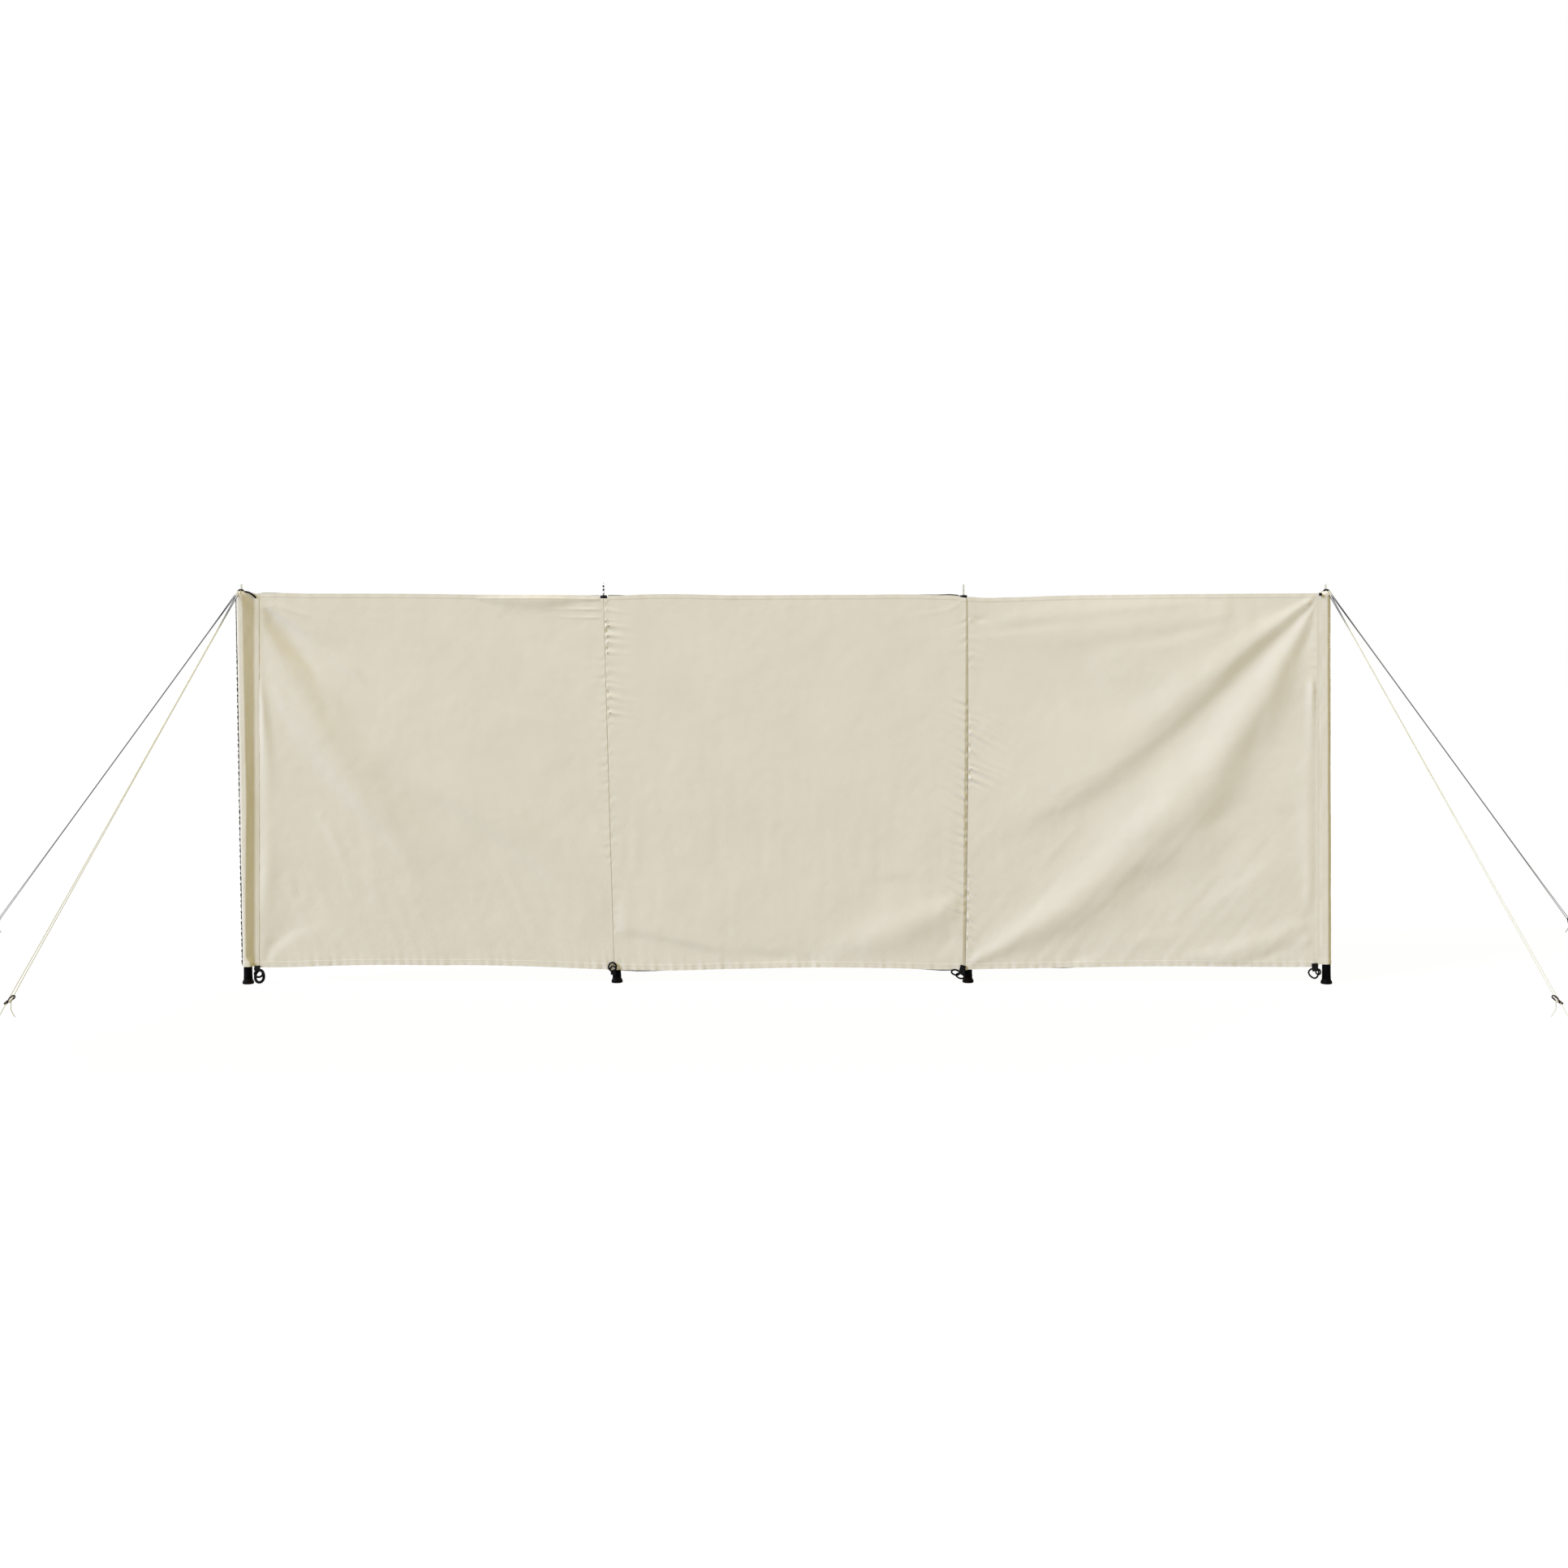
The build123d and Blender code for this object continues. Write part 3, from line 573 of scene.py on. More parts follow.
foldLines = {  # x, z, height, and softness above left and below right, in mm, along each fold
    "left": [
        # ridge from corner
        [(28, 1407, 0.3, 11, 13), (106, 1268, 5.3, 25, 21), (191, 1121, 9.4, 51, 46), (273, 985, 9.6, 40, 46),
         (377, 849, 7.7, 52, 67), (461, 705, 9.8, 46, 60), (569, 558, 6.3, 55, 92), (675, 407, 2.7, 110, 102)],
        [(36, 1191, -0.5, 8, 8), (44, 1052, 14.8, 9, 13), (43, 868, 6.9, 8, 28), (44, 683, 3.1, 8, 44),
         (53, 498, 3.3, 7, 42), (41, 345, 4.8, 8, 28), (42, 222, -2, 8, 32)],  # ridge by seam
        [(111, 1109, 1.5, 15, 8), (181, 1006, 3.6, 26, 28), (294, 860, 6.4, 37, 55), (389, 726, 3.6, 23, 32),
         (489, 591, 0.1, 17, 19), (593, 404, -1, 21, 13)],  # second ridge
        [(62, 1448, -1.7, 7, 7), (143, 1420, 2.1, 10, 7), (274, 1377, 0.1, 6, 6)],  # corner crease a
        # corner crease b
        [(67, 1415, -3.8, 12, 7), (165, 1343, -3.8, 25, 11), (346, 1224, 2, 14, 11), (460, 1115, 0.1, 9, 10)],
        [(273, 637, 1, 12, 10), (352, 489, 2.2, 13, 58), (397, 316, 0.2, 9, 17)],  # streak a
        [(495, 589, -0.5, 10, 8), (594, 420, -0.4, 12, 10), (643, 345, 0, 9, 9)],  # streak b
        [(443, 591, 0.3, 11, 10), (473, 468, 1.7, 29, 22), (480, 314, 1.4, 11, 43)],  # streak c
        [(182, 498, 0, 12, 10), (194, 328, -1, 15, 8)],  # streak d
        [(825, 513, -0.3, 17, 12), (900, 388, -0.4, 22, 11), (971, 252, 0.5, 15, 14)],  # streak e
        [(53, 69, -1.4, 11, 10), (115, 166, -3.7, 36, 16), (220, 229, -1.7, 104, 15)],  # low corner
        # top crease a
        [(1140, 1421, 0.4, 4, 4), (1230, 1419.5, 3, 4, 4), (1300, 1419, 6, 4, 4), (1345, 1418, 9, 4, 4)],
        # top crease c
        [(1160, 1391, 0.4, 4, 4), (1240, 1389, 2.4, 4, 4), (1300, 1388, 4.5, 4, 4), (1345, 1387, 7, 4, 4)],
        # top crease b
        [(874, 1461, 2.6, 5, 6), (1074, 1461, 7.6, 5, 26), (1228, 1458, 3.5, 6, 9), (1329, 1455, 6.8, 5, 4)],
        # soft upper
        [(284, 1254, -5.5, 45, 130), (536, 1176, -0.7, 47, 130), (841, 1055, 0.8, 28, 75), (1180, 986, 0.9, 22, 47)],
        [(411, 957, -1.8, 103, 112), (635, 802, 4.3, 48, 95), (906, 622, 7.2, 34, 82), (1148, 434, 3.7, 37, 68),
         (1320, 283, 2, 57, 42)],  # soft diagonal
        # valley
        [(91, 1377, -3.3, 38, 17), (179, 1273, -8, 19, 26), (285, 1121, 0.8, 13, 25), (380, 959, 1.2, 27, 22)],
    ],
    "middle": [
        [(1391, 221, 3.7, 65, 18), (1581, 185, 3.8, 54, 16), (1766, 141, 3.1, 32, 14), (1950, 104, -3.3, 14, 22),
         (2089, 99, -0.8, 20, 15)],  # smile left
        [(2135, 83, -2.1, 24, 17), (2275, 133, 2.6, 41, 24), (2405, 180, 6.8, 50, 47), (2544, 240, 7, 44, 43),
         (2665, 308, 4.8, 21, 46), (2700, 348, -1.2, 37, 29)],  # smile right
        [(2590, 81, 0.7, 14, 10), (2654, 158, -1.4, 31, 12), (2706, 205, 2.4, 12, 10)],  # low right
        [(2699, 1441, 1.4, 6, 7), (2628, 1413, 0.8, 6, 8), (2535, 1401, 0.5, 6, 6)],  # top right a
        [(2698, 1412, 0.6, 7, 7), (2643, 1363, -0.1, 7, 7), (2566, 1314, 0.1, 7, 7)],  # top right b
        [(2105, 252, 0.3, 15, 15), (1969, 141, -0.1, 12, 19)],  # bulge a
        [(2222, 259, -0.6, 14, 15), (2254, 161, 1, 16, 19)],  # bulge b
        [(2320, 368, -0.4, 16, 21), (2474, 387, -1.5, 17, 37), (2597, 387, -0.3, 16, 17)],  # soft shelf
    ],
    "right": [
        [(4033, 1461, 4.6, 7, 9), (3914, 1368, 7.1, 24, 17), (3751, 1250, 12.8, 59, 32), (3609, 1117, 13.6, 79, 34),
         (3450, 973, 9.5, 73, 33), (3291, 851, 9.6, 130, 46), (3140, 738, 7.1, 130, 38), (2979, 646, 3.5, 130, 34),
         (2854, 582, 1.7, 75, 46)],  # upper ridge
        # main ridge
        [(4045, 1442, 5.9, 6, 6), (3978, 1328, 6.7, 23, 17), (3885, 1177, 9.6, 42, 42), (3795, 1023, 12.8, 70, 48),
         (3694, 876, 13.2, 64, 65), (3602, 713, 19.7, 105, 84), (3488, 577, 23.1, 98, 97), (3346, 471, 13.2, 90, 58),
         (3204, 365, 10.9, 60, 74), (3066, 263, 9.9, 50, 53), (2883, 158, 6.2, 29, 29), (2736, 81, 3.2, 10, 14)],
        [(4027, 1426, -4.3, 6, 20), (3974, 1315, -2.5, 51, 41), (3926, 1190, 0.7, 42, 38), (3892, 1067, 2.5, 34, 38),
         (3858, 958, 1.6, 23, 34)],  # third ridge
        [(4037, 1115, 10.5, 11, 42), (4040, 899, 3.1, 21, 13), (4035, 652, 2.4, 39, 13), (4026, 406, 2.7, 18, 15),
         (4010, 252, -0.8, 16, 19)],  # ridge by seam
        [(3983, 221, 2.2, 21, 21), (3771, 135, 4.2, 26, 53), (3583, 104, 2.1, 14, 19)],  # low a
        [(4008, 165, 2.2, 13, 16), (3896, 119, -1.8, 21, 12), (3783, 82, -0.9, 10, 12)],  # low b
        [(3838, 437, 0.8, 11, 21), (3684, 316, 1.3, 16, 85)],  # low c
        [(3490, 187, 0.7, 17, 26), (3366, 158, 1.2, 22, 21), (3151, 98, -2.3, 37, 12)],  # low d
        # upper a
        [(2738, 1376, -3, 6, 5), (2982, 1388, 2.9, 31, 23), (3320, 1426, 2.6, 26, 21), (3674, 1450, -0.4, 7, 6)],
        # upper b
        [(2739, 1309, 0.1, 5, 8), (3028, 1328, 3, 23, 44), (3366, 1352, 7.8, 63, 46), (3672, 1398, 5.4, 58, 24)],
        [(3151, 1223, 0.1, 26, 20), (3370, 1250, 6.2, 37, 130), (3583, 1306, 6.7, 29, 54),
         (3766, 1375, 4.1, 44, 33)],  # upper c
        [(3643, 621, -7.6, 111, 41), (3488, 548, -11.2, 57, 79), (3365, 453, -1.1, 46, 103)],  # inner a
        [(3962, 649, -1, 17, 36), (3858, 499, 2.1, 59, 105), (3818, 403, 4.2, 84, 130)],  # side a
        [(4003, 1431, -2.6, 9, 5), (3858, 1314, -1, 12, 8), (3665, 1155, -1.6, 19, 15), (3494, 999, -2, 21, 15),
         (3306, 866, 0.2, 18, 16), (3087, 732, 0.9, 37, 13)],  # upper valley
        [(4027, 1372, 3, 8, 7), (3950, 1207, -0.3, 19, 11), (3857, 1022, 0, 30, 18), (3769, 835, -0.2, 17, 20),
         (3675, 682, 0.9, 35, 30)],  # main valley
    ],
}


def foldHeight(line, x, z):  # one traced fold's height, in mm
    knots = np.array(line) / (1000, 1000, 1, 1, 1)
    bySoftness, closest = foldLook["pitch"]
    pitch = max(bySoftness * knots[:, 3:].min(), closest)
    length = travel(knots[:, :2])[-1]
    place, fine = np.arange(len(knots)), np.linspace(0, len(knots) - 1, int(length / pitch) + 2)
    path = np.stack([curveAt(np.stack((place, knots[:, c]), -1), fine) for c in range(5)], -1)
    run = np.gradient(path[:, :2], axis=0)
    across = unit(np.stack((run[:, 1], -run[:, 0]), -1))
    across = across if across.sum(0).dot(foldLook["below"]) > 0 else -across
    reach = foldLook["reach"] * path[:, 3:].max()
    near = ((x > path[:, 0].min() - reach) & (x < path[:, 0].max() + reach)
            & (z > path[:, 1].min() - reach) & (z < path[:, 1].max() + reach))
    offX, offZ = x[near][:, None] - path[:, 0], z[near][:, None] - path[:, 1]
    gap = offX**2 + offZ**2
    least = gap.min(1, keepdims=True, initial=9.0)
    share, spread = foldLook["blend"]
    weight = np.exp((least - gap) / (2 * (share * least + (spread * pitch) ** 2)))  # the nearest stretch counts most
    weight /= weight.sum(1, keepdims=True)
    side = ((offX * across[:, 0] + offZ * across[:, 1]) / np.sqrt(gap + 1e-8) * weight).sum(1)
    lift, above, below = (weight @ path[:, c] for c in (2, 3, 4))
    soft = (above + below + side * (below - above)) / 2000
    height = np.zeros_like(x)
    height[near] = lift * np.exp(-(weight * gap).sum(1) / (2 * soft * soft))
    return height


def stray(index, v):  # how far a seam is off its pole, at a share of the height
    top, bottom, bow = panelLook["strays"][index]
    return bottom + (top - bottom) * v + 4 * bow * v * (1 - v)


def panelPoints(bay, u, v):  # the panel's middle surface at shares across and up
    name = layout["bays"][bay]
    u, v = np.broadcast_arrays(np.asarray(u, float), np.asarray(v, float))
    def seam(index, across):
        return polePoint(index, across + stray(index, v), layout["hems"][index] + v * layout["cloth"])[..., 0]
    def uneven(kind, a, b):
        size, cell, seed = panelLook["unevenness"][kind]
        return size * softNoise(a, b, cell, seed + bay)
    left, right = seam(bay, panelLook["starts"][bay]), seam(bay + 1, panelLook["ends"][bay])
    x = left + u * (right - left)
    low, high = curveAt(panelLook["bottom"], x), curveAt(panelLook["top"], x)
    inner, outer = panelLook["notchEdge"]
    for middle, half, sink in panelLook["notches"]:
        high = high - sink * (1 - step(half + inner, half + outer, np.abs(x - middle)))
    z = low + v * (high - low)
    fromLeft, fromRight, up, down = x - left, right - x, z - low, high - z
    depth = panelLook["relief"][bay] * sum(foldHeight(line, x, z) for line in foldLines[name]) / 1000
    fade, (kept, whole) = panelLook["seamFade"], panelLook["hemFade"]
    depth *= step(0.0, fade, fromLeft) * step(0.0, fade, fromRight) * (kept + (1 - kept) * step(0.0, whole, up))
    still = step(0.0, fade, np.minimum(fromLeft, fromRight))
    depth += still * (uneven("swells", x, z) + uneven("crumples", x + z, x - z))
    depth += uneven("crepe", x - panelLook["crepeLean"] * z, z)
    streaks = uneven("streaks", x + panelLook["pull"][bay] * z, panelLook["streakDraw"] * z)
    depth += still * streaks * (1 - step(*panelLook["streakFade"], z))
    ends = panelLook["gatherEnds"]
    for base, crest, reach, pitch, size, slant, atLeft in panelLook["gathers"][name]:
        off, lean = (fromLeft, slant) if atLeft else (fromRight, -slant)
        window = step(base - ends, base + ends, z) * (1 - step(crest - ends, crest + ends, z))
        stir = uneven("stir", z, off * panelLook["stirDraw"])
        wave = size * window * ripple(z + stir + lean * off, pitch, 1.7 + bay + 5 * base)
        wave *= (panelLook["gatherShare"] + uneven("gathers", z, 0 * z)) * np.exp(-off / reach)
        depth += wave * step(0.0, panelLook["gatherStart"], off)
    size, reach, pitch = panelLook["puckers"][name]
    swell = size * (panelLook["puckerShare"] + uneven("puckers", x, 0 * x)) * np.exp(-up / reach)
    wave = ripple(x + panelLook["puckerLean"] * up, pitch, 2.1 + bay)
    depth += swell * wave * step(0.0, panelLook["puckerStart"], fromLeft)
    size, pitch, reach = panelLook["topWave"]
    depth += size * ripple(x, pitch, 0.4 + bay) * np.exp(-down / reach)
    edge = panelLook["hemEdge"]
    for off, (width, ply) in ((down, panelLook["topHem"]), (up, panelLook["bottomHem"])):
        depth += ply * (1 - step(width - edge, width + edge, off))
    for off, (sink, width) in zip((fromLeft, fromRight), panelLook["grooves"][name]):
        wide = width * curveAt(panelLook["grooveShare"], z)
        depth -= sink * wide / width * np.clip(1 - off / wide, 0, 1)
    depth += panelLook["forward"] * u * u * (bay == 2)
    return np.stack((x, -depth, z), -1)


def graded(count, near, far, length):  # shares from 0 to 1, closer together at the ends
    extra = np.concatenate((np.array(near) / length, 1 - np.array(far) / length))
    return np.unique(np.round(np.concatenate((np.linspace(0, 1, count), extra)), 5))


hemRows = (0.0015, 0.004, 0.008, 0.012, 0.0145, 0.0155, 0.0165, 0.018, 0.0195, 0.0205, 0.0215, 0.023, 0.026)
topRows = hemRows + tuple(np.arange(0.029, 0.095, 0.003))
seamColumns = (0.001, 0.002, 0.003, 0.004, 0.005, 0.0065, 0.008, 0.010, 0.0125, 0.015, 0.018, 0.022, 0.027)
for bay, name in enumerate(layout["bays"]):
    columns = graded(panelLook["grid"][0], seamColumns, seamColumns, panelLook["width"])
    rows = graded(panelLook["grid"][1], hemRows, topRows, layout["cloth"])
    flat = flatGrid(columns * panelLook["width"] + panelLook["flatGap"] * bay, rows * layout["cloth"])
    parts = sheetParts(panelPoints(bay, columns[None, :], rows[:, None]), panelLook["thickness"], flat)
    panel = meshPiece(name + "Panel", parts, "cloth", [name + "_panel"])
    print("panel", name, len(parts[1]), "faces")

# Pole sleeves
sleeveLook = {
    "radius": 0.0169,
    "ply": 0.0011,
    "thickness": 0.0009,
    "counts": (5, 12, 46),  # points on the seam, on the way to the pole and round it
    "rows": {True: 150, False: 80},  # on an end sleeve and on a mid one
    "hemRows": (0, 0.002, 0.008, 0.014, 0.017, 0.019, 0.021),
    "rowStart": 0.028,
    "hem": (0.0005, 0.017, 0.020),  # thickness of the turned cloth, and where it ends
    "hemTurn": 0.02,
    "flatGirth": 0.06,
    "tips": (0.047, 0.0195, 0.0195, 0.028),  # where the two plies meet, from the pole's axis
    "reaches": (0.066, 0.0215, 0.0215, 0.040),  # where they end
    "tapers": (0.0235, 0.0, 0.0, 0.0),  # how much less both are at the bottom
    "bottoms": (0.0660, 0.0500, 0.0500, 0.0760),
    "tops": (1.4700, 1.4600, 1.4600, 1.4700),
    "shifts": (0.0, 0.0, 0.0, 0.0155),  # how far forward the two plies meet
    "squares": (1.0, 0.0, 0.0, -0.7),  # round at 0, squared above it and pinched below
    "fronts": (-101.0, 0.0, 0.0, 0.0),  # the angle where the front ply leaves the pole, low down
    "frontStart": (-0.01, 0.04),
    "crown": 0.0185,
    "crownNeck": 0.0052,
    "crownRows": 12,
    "crownShrink": (0.1, 1.25),
    "crownPlies": (1.02, 1.04),  # the closed plies' meeting and end, by the crown's radius
    "sewn": (0.006, 0.02),  # the sewn plies stay flat to here, and are loose from there
    "crease": (0.0007, 0.9, 0.037, 0.05, 41),  # height, slant, pitch, cell and seed
    "sways": ((0.0007, 0.6, 1.0, 0.06, 51), (0.0004, 1.0, 0.5, 0.016, 61)),  # height, draw round and up, cell and seed
}


def looseRing(radius, turn, square):  # round the pole, squared or pinched a little
    swell = (np.cos(turn) ** 4 + np.sin(turn) ** 4) ** (-0.25 * square)
    return radius * np.stack((swell * np.cos(turn), swell * np.sin(turn)), -1)


# the sleeve's outline, from one ply's end round the pole to the other's
def teardrop(radius, tip, reach, ply, shift, square, front):
    onSeam, onWay, onPole = sleeveLook["counts"]
    facing, half = math.atan2(shift, tip), math.acos(min(radius / math.hypot(tip, shift), 0.999))
    leave, seam = (facing + half, min(facing - half, front)), np.linspace(reach, tip, onSeam)
    def side(sign):
        strip = np.stack((seam, np.full(onSeam, shift + sign * ply)), -1)
        touch = looseRing(radius, leave[sign < 0], square)
        return np.concatenate((strip, strip[-1] + (touch - strip[-1]) * np.linspace(0, 1, onWay)[1:-1, None]))
    turn = np.linspace(leave[0], 2 * math.pi + leave[1], onPole)
    return np.concatenate((side(1), looseRing(radius, turn, square), side(-1)[::-1]))


def sleevePlace(index, a, b, height):
    if index == 0:
        return polePoint(index, a, height, b)
    if index == 3:
        return polePoint(index, -a, height, -b)
    share = (height - layout["hems"][index]) / layout["cloth"]
    off = stray(index, share) * np.clip(a / sleeveLook["tips"][index], 0, 1)
    return polePoint(index, b + off, height, -a)


for index, name in enumerate(layout["poles"]):
    atEnd = index in (0, 3)
    low, high, tip, reach, shift, square = (
        sleeveLook[key][index] for key in ("bottoms", "tops", "tips", "reaches", "shifts", "squares"))
    radius, neck = sleeveLook["radius"], sleeveLook["crownNeck"]
    upper = np.linspace(low + sleeveLook["rowStart"], high, sleeveLook["rows"][atEnd])
    heights = np.concatenate((low + np.array(sleeveLook["hemRows"]), upper))
    taper = sleeveLook["tapers"][index] * (1 - (heights - low) / (high - low))
    layers = [(radius, tip - less, reach - less, height, shift) for height, less in zip(heights, taper)]
    for turn in np.linspace(0, math.pi / 2, sleeveLook["crownRows"])[1:] if atEnd else ():
        shrink = 1 - step(*sleeveLook["crownShrink"], turn)
        ring = neck + (radius - neck) * math.cos(turn)
        closedTip, closedReach = (ring * share for share in sleeveLook["crownPlies"])
        meet, end = closedTip + (tip - closedTip) * shrink, closedReach + (reach - closedReach) * shrink
        layers.append((ring, meet, end, high + sleeveLook["crown"] * math.sin(turn), shift * shrink))
    grid = []
    for ring, layerTip, layerReach, height, layerShift in layers:
        under, over = sleeveLook["frontStart"]
        front = math.radians(sleeveLook["fronts"][index]) * (1 - step(low, high, height))
        front *= step(low + under, low + over, height)
        outline = teardrop(ring, layerTip, layerReach, sleeveLook["ply"], layerShift, square, front)
        run = travel(outline)
        slope = unit(np.gradient(outline, axis=0))
        outward = np.stack((slope[:, 1], -slope[:, 0]), -1)
        loose = step(*sleeveLook["sewn"], run) * step(*sleeveLook["sewn"], run[-1] - run)
        size, slant, pitch, cell, seed = sleeveLook["crease"]
        crease = size * ripple(height + slant * run, pitch, 0.9 + index) * softNoise(run, height, cell, seed + index)
        sway = sum(size * softNoise(run * drawRound, height * drawUp, cell, seed + index)
                   for size, drawRound, drawUp, cell, seed in sleeveLook["sways"])
        ply, hemLow, hemHigh = sleeveLook["hem"]
        hem = ply * (1 - step(low + hemLow, low + hemHigh, height))
        outline = outline + outward * (loose * (crease + sway) + hem)[:, None]
        grid.append(sleevePlace(index, outline[:, 0], outline[:, 1], np.full(len(outline), height)))
    across = np.linspace(0, 2 * reach + sleeveLook["flatGirth"], len(outline))
    flat = flatGrid(across, np.array([layer[3] for layer in layers]))
    parts = sheetParts(np.array(grid), sleeveLook["thickness"], flat)
    sleeve = meshPiece(name + "Sleeve", parts, "cloth", [name + "_sleeve"])
    width = 2 * (reach - tip) + 2 * math.sqrt(tip**2 - radius**2) + radius * 2 * (math.pi - math.acos(radius / tip))
    high - low + sleeveLook["hemTurn"]
    name + "_pole"
print("sleeves made")

# Stitching
stitchLook = {
    "sides": (0.004, 0.996),
    "hems": (0.0138, 0.0185),  # each row from the top and bottom edge
    "lift": 0.0007,
    "seams": {0: (0.0500, 0.0600), 3: (-0.0335, -0.0385)},  # each row from the end pole's axis
    "seamEnds": (0.002, 1.466),
    "seamLift": 0.0018,
}
edgeLook = {
    "lift": 0.0008, "wobble": (0.02, 0.05),
    "bead": 0.0046, "pitch": 0.021, "angle": 153.0,  # the left edge's dark overlocking
    "span": (0.070, 1.460), "even": 0.72, "lumps": (0.08, 0.34), "smooth": (1.15, 1.30),
    # the right edge's pale stitches: angle, top, bottom, length, gap and radius
    "rows": [(56.0, 1.400, 1.150, 0.0090, 0.0030, 0.0016), (57.0, 1.150, 0.080, 0.0050, 0.0030, 0.0007)],
}


def edgeLine(index, angle, height):
    swing, pitch = edgeLook["wobble"]
    wobble = math.radians(angle) + swing * ripple(height, pitch, 2.0 + index)
    ring = looseRing(sleeveLook["radius"] + edgeLook["lift"], wobble, sleeveLook["squares"][index])
    return polePoint(index, ring[:, 0], height, -ring[:, 1])


toFront = np.array((0.0, -1.0, 0.0))
stitchRows = []
for bay in range(3):
    across = np.linspace(*stitchLook["sides"], 400)
    fromTop, fromBottom = (off / layout["cloth"] for off in stitchLook["hems"])
    for share in (1 - fromTop, fromBottom):
        stitchRows.append(stitchParts(panelPoints(bay, across, share) + toFront * stitchLook["lift"], toFront))
for index, offsets in stitchLook["seams"].items():
    under, top = stitchLook["seamEnds"]
    height = np.linspace(sleeveLook["bottoms"][index] + under, top, 300)
    narrow = sleeveLook["tapers"][index] * (1 - height / sleeveLook["tops"][index])
    for offset in offsets:
        line = polePoint(index, offset - narrow, height, -stitchLook["seamLift"] - sleeveLook["shifts"][index])
        stitchRows.append(stitchParts(line, toFront))
meshPiece("seamStitches", joined(stitchRows), "cloth", look="thread")
height = np.linspace(*edgeLook["span"], 700)
least, more = edgeLook["lumps"]
lumps = least + more * (1 - step(*edgeLook["smooth"], height))
beads = edgeLook["bead"] * (edgeLook["even"] + lumps * ripple(height, edgeLook["pitch"], 1.3))
overlock = tubeParts(edgeLine(0, edgeLook["angle"], height), beads, 8)
meshPiece("leftOverlockedEdge", overlock, "cloth", look="overlock")
lots = []
for angle, top, bottom, length, gap, radius in edgeLook["rows"]:
    line = edgeLine(3, angle, np.linspace(bottom, top, 400))
    lots.append(stitchParts(line, unit(line.mean(0) - polePoint(3, 0.0, (top + bottom) / 2)), length, gap, radius))
meshPiece("rightOverlockedEdge", joined(lots), "cloth", look="thread")
print("stitching made")

# Webbing tapes behind the hems
tapeLook = {
    "width": 0.014,
    "thickness": 0.0012,
    "behind": 0.0019,
    "sides": (0.012, 0.988),
    "lines": 6,
    # x, and how far the tape stands out past the edge there
    "rise": [
        (0.05, 0.0012), (0.10, 0.0008), (0.20, -0.003), (1.22, -0.003), (1.345, 0.0015), (1.392, 0.0020),
        (1.46, -0.003), (2.46, -0.003), (2.60, 0.0018), (2.715, 0.0022), (2.77, -0.003), (4.05, -0.003)],
    "drop": [
        (0.06, -0.003), (1.30, -0.003), (1.40, 0.0014), (1.56, 0.0014), (1.64, -0.003), (2.48, -0.003), (2.57, 0.0014),
        (2.69, 0.0020), (2.75, -0.002), (3.00, -0.002), (3.06, 0.0010), (3.12, 0.0010), (3.18, -0.003), (4.05, -0.003)],
}
for edge, node, outward in (("rise", "top_tape", 1), ("drop", "bottom_tape", -1)):
    strips = []
    for bay in range(3):
        across = np.linspace(*tapeLook["sides"], 150)
        hem = panelPoints(bay, across, 1.0 if outward > 0 else 0.0)
        standOut = curveAt(tapeLook[edge], hem[:, 0])
        lines = []
        for offset in np.linspace(-tapeLook["width"], 0, tapeLook["lines"]):
            inward = np.clip(-(standOut + offset) / layout["cloth"], 0, 1)
            line = panelPoints(bay, across, 1 - inward if outward > 0 else inward)
            line[:, 1] += tapeLook["behind"]
            line[:, 2] = hem[:, 2] + (standOut + offset) * outward
            lines.append(line)
        flat = flatGrid(hem[:, 0], np.linspace(0, tapeLook["width"], tapeLook["lines"]))[..., ::-1]
        strips.append(sheetParts(np.array(lines[::outward]), tapeLook["thickness"], flat))
    meshPiece(node.replace("_tape", "Tape"), joined(strips), "black_webbing", [node])
print("tapes made")

# Corner straps of the end poles
strapLook = {
    "radius": 0.0031,
    "ring": 0.0066,
    "ringHeight": 1.4902,
    "swell": 1.15,  # at the sewn end
    "spacing": {"ring": 0.0012, "arm": 0.0015},
    "patch": {"half": 0.0055, "low": -0.005, "high": 0.006, "behind": 0.0004, "thickness": 0.0022, "flat": 0.011},
    "arms": {
        0: [(0.005, 1.4895, 0.004), (0.010, 1.4855, -0.003), (0.021, 1.4855, -0.0110), (0.034, 1.4815, -0.0115),
            (0.045, 1.4735, -0.0090), (0.0525, 1.4640, -0.0030), (0.0545, 1.4600, 0.0040)],
        3: [(-0.003, 1.4902, 0.005), (-0.010, 1.4850, 0.0095), (-0.0175, 1.4805, 0.0090), (-0.0235, 1.4795, -0.002),
            (-0.0268, 1.4785, -0.0200), (-0.0268, 1.4745, -0.0260)],
    },
}
for index, arm in strapLook["arms"].items():
    name, patch = layout["poles"][index], strapLook["patch"]
    turn = evenAngles(12)
    ring = polePoint(index, strapLook["ring"] * np.cos(turn), strapLook["ringHeight"], strapLook["ring"] * np.sin(turn))
    line = splinePath([polePoint(index, *place) for place in arm], strapLook["spacing"]["arm"])
    ringLine = splinePath(ring, strapLook["spacing"]["ring"], True)
    across, height, depth = arm[-1]
    wide, tall = np.linspace(-1, 1, 5) * patch["half"], np.linspace(patch["low"], patch["high"], 9)
    grid = polePoint(index, across + wide[None, :], height + tall[:, None], depth + patch["behind"])
    flat = flatGrid(np.linspace(0, patch["flat"], 5), np.linspace(0, patch["flat"], 9))
    parts = joined([
        tubeParts(ringLine, strapLook["radius"], closed=True),
        tubeParts(line, strapLook["radius"] * np.linspace(1.0, strapLook["swell"], len(line))),
        sheetParts(grid, patch["thickness"], flat)])
    meshPiece(name + "Strap", parts, "black_webbing", [name + "_strap"])
print("straps made")

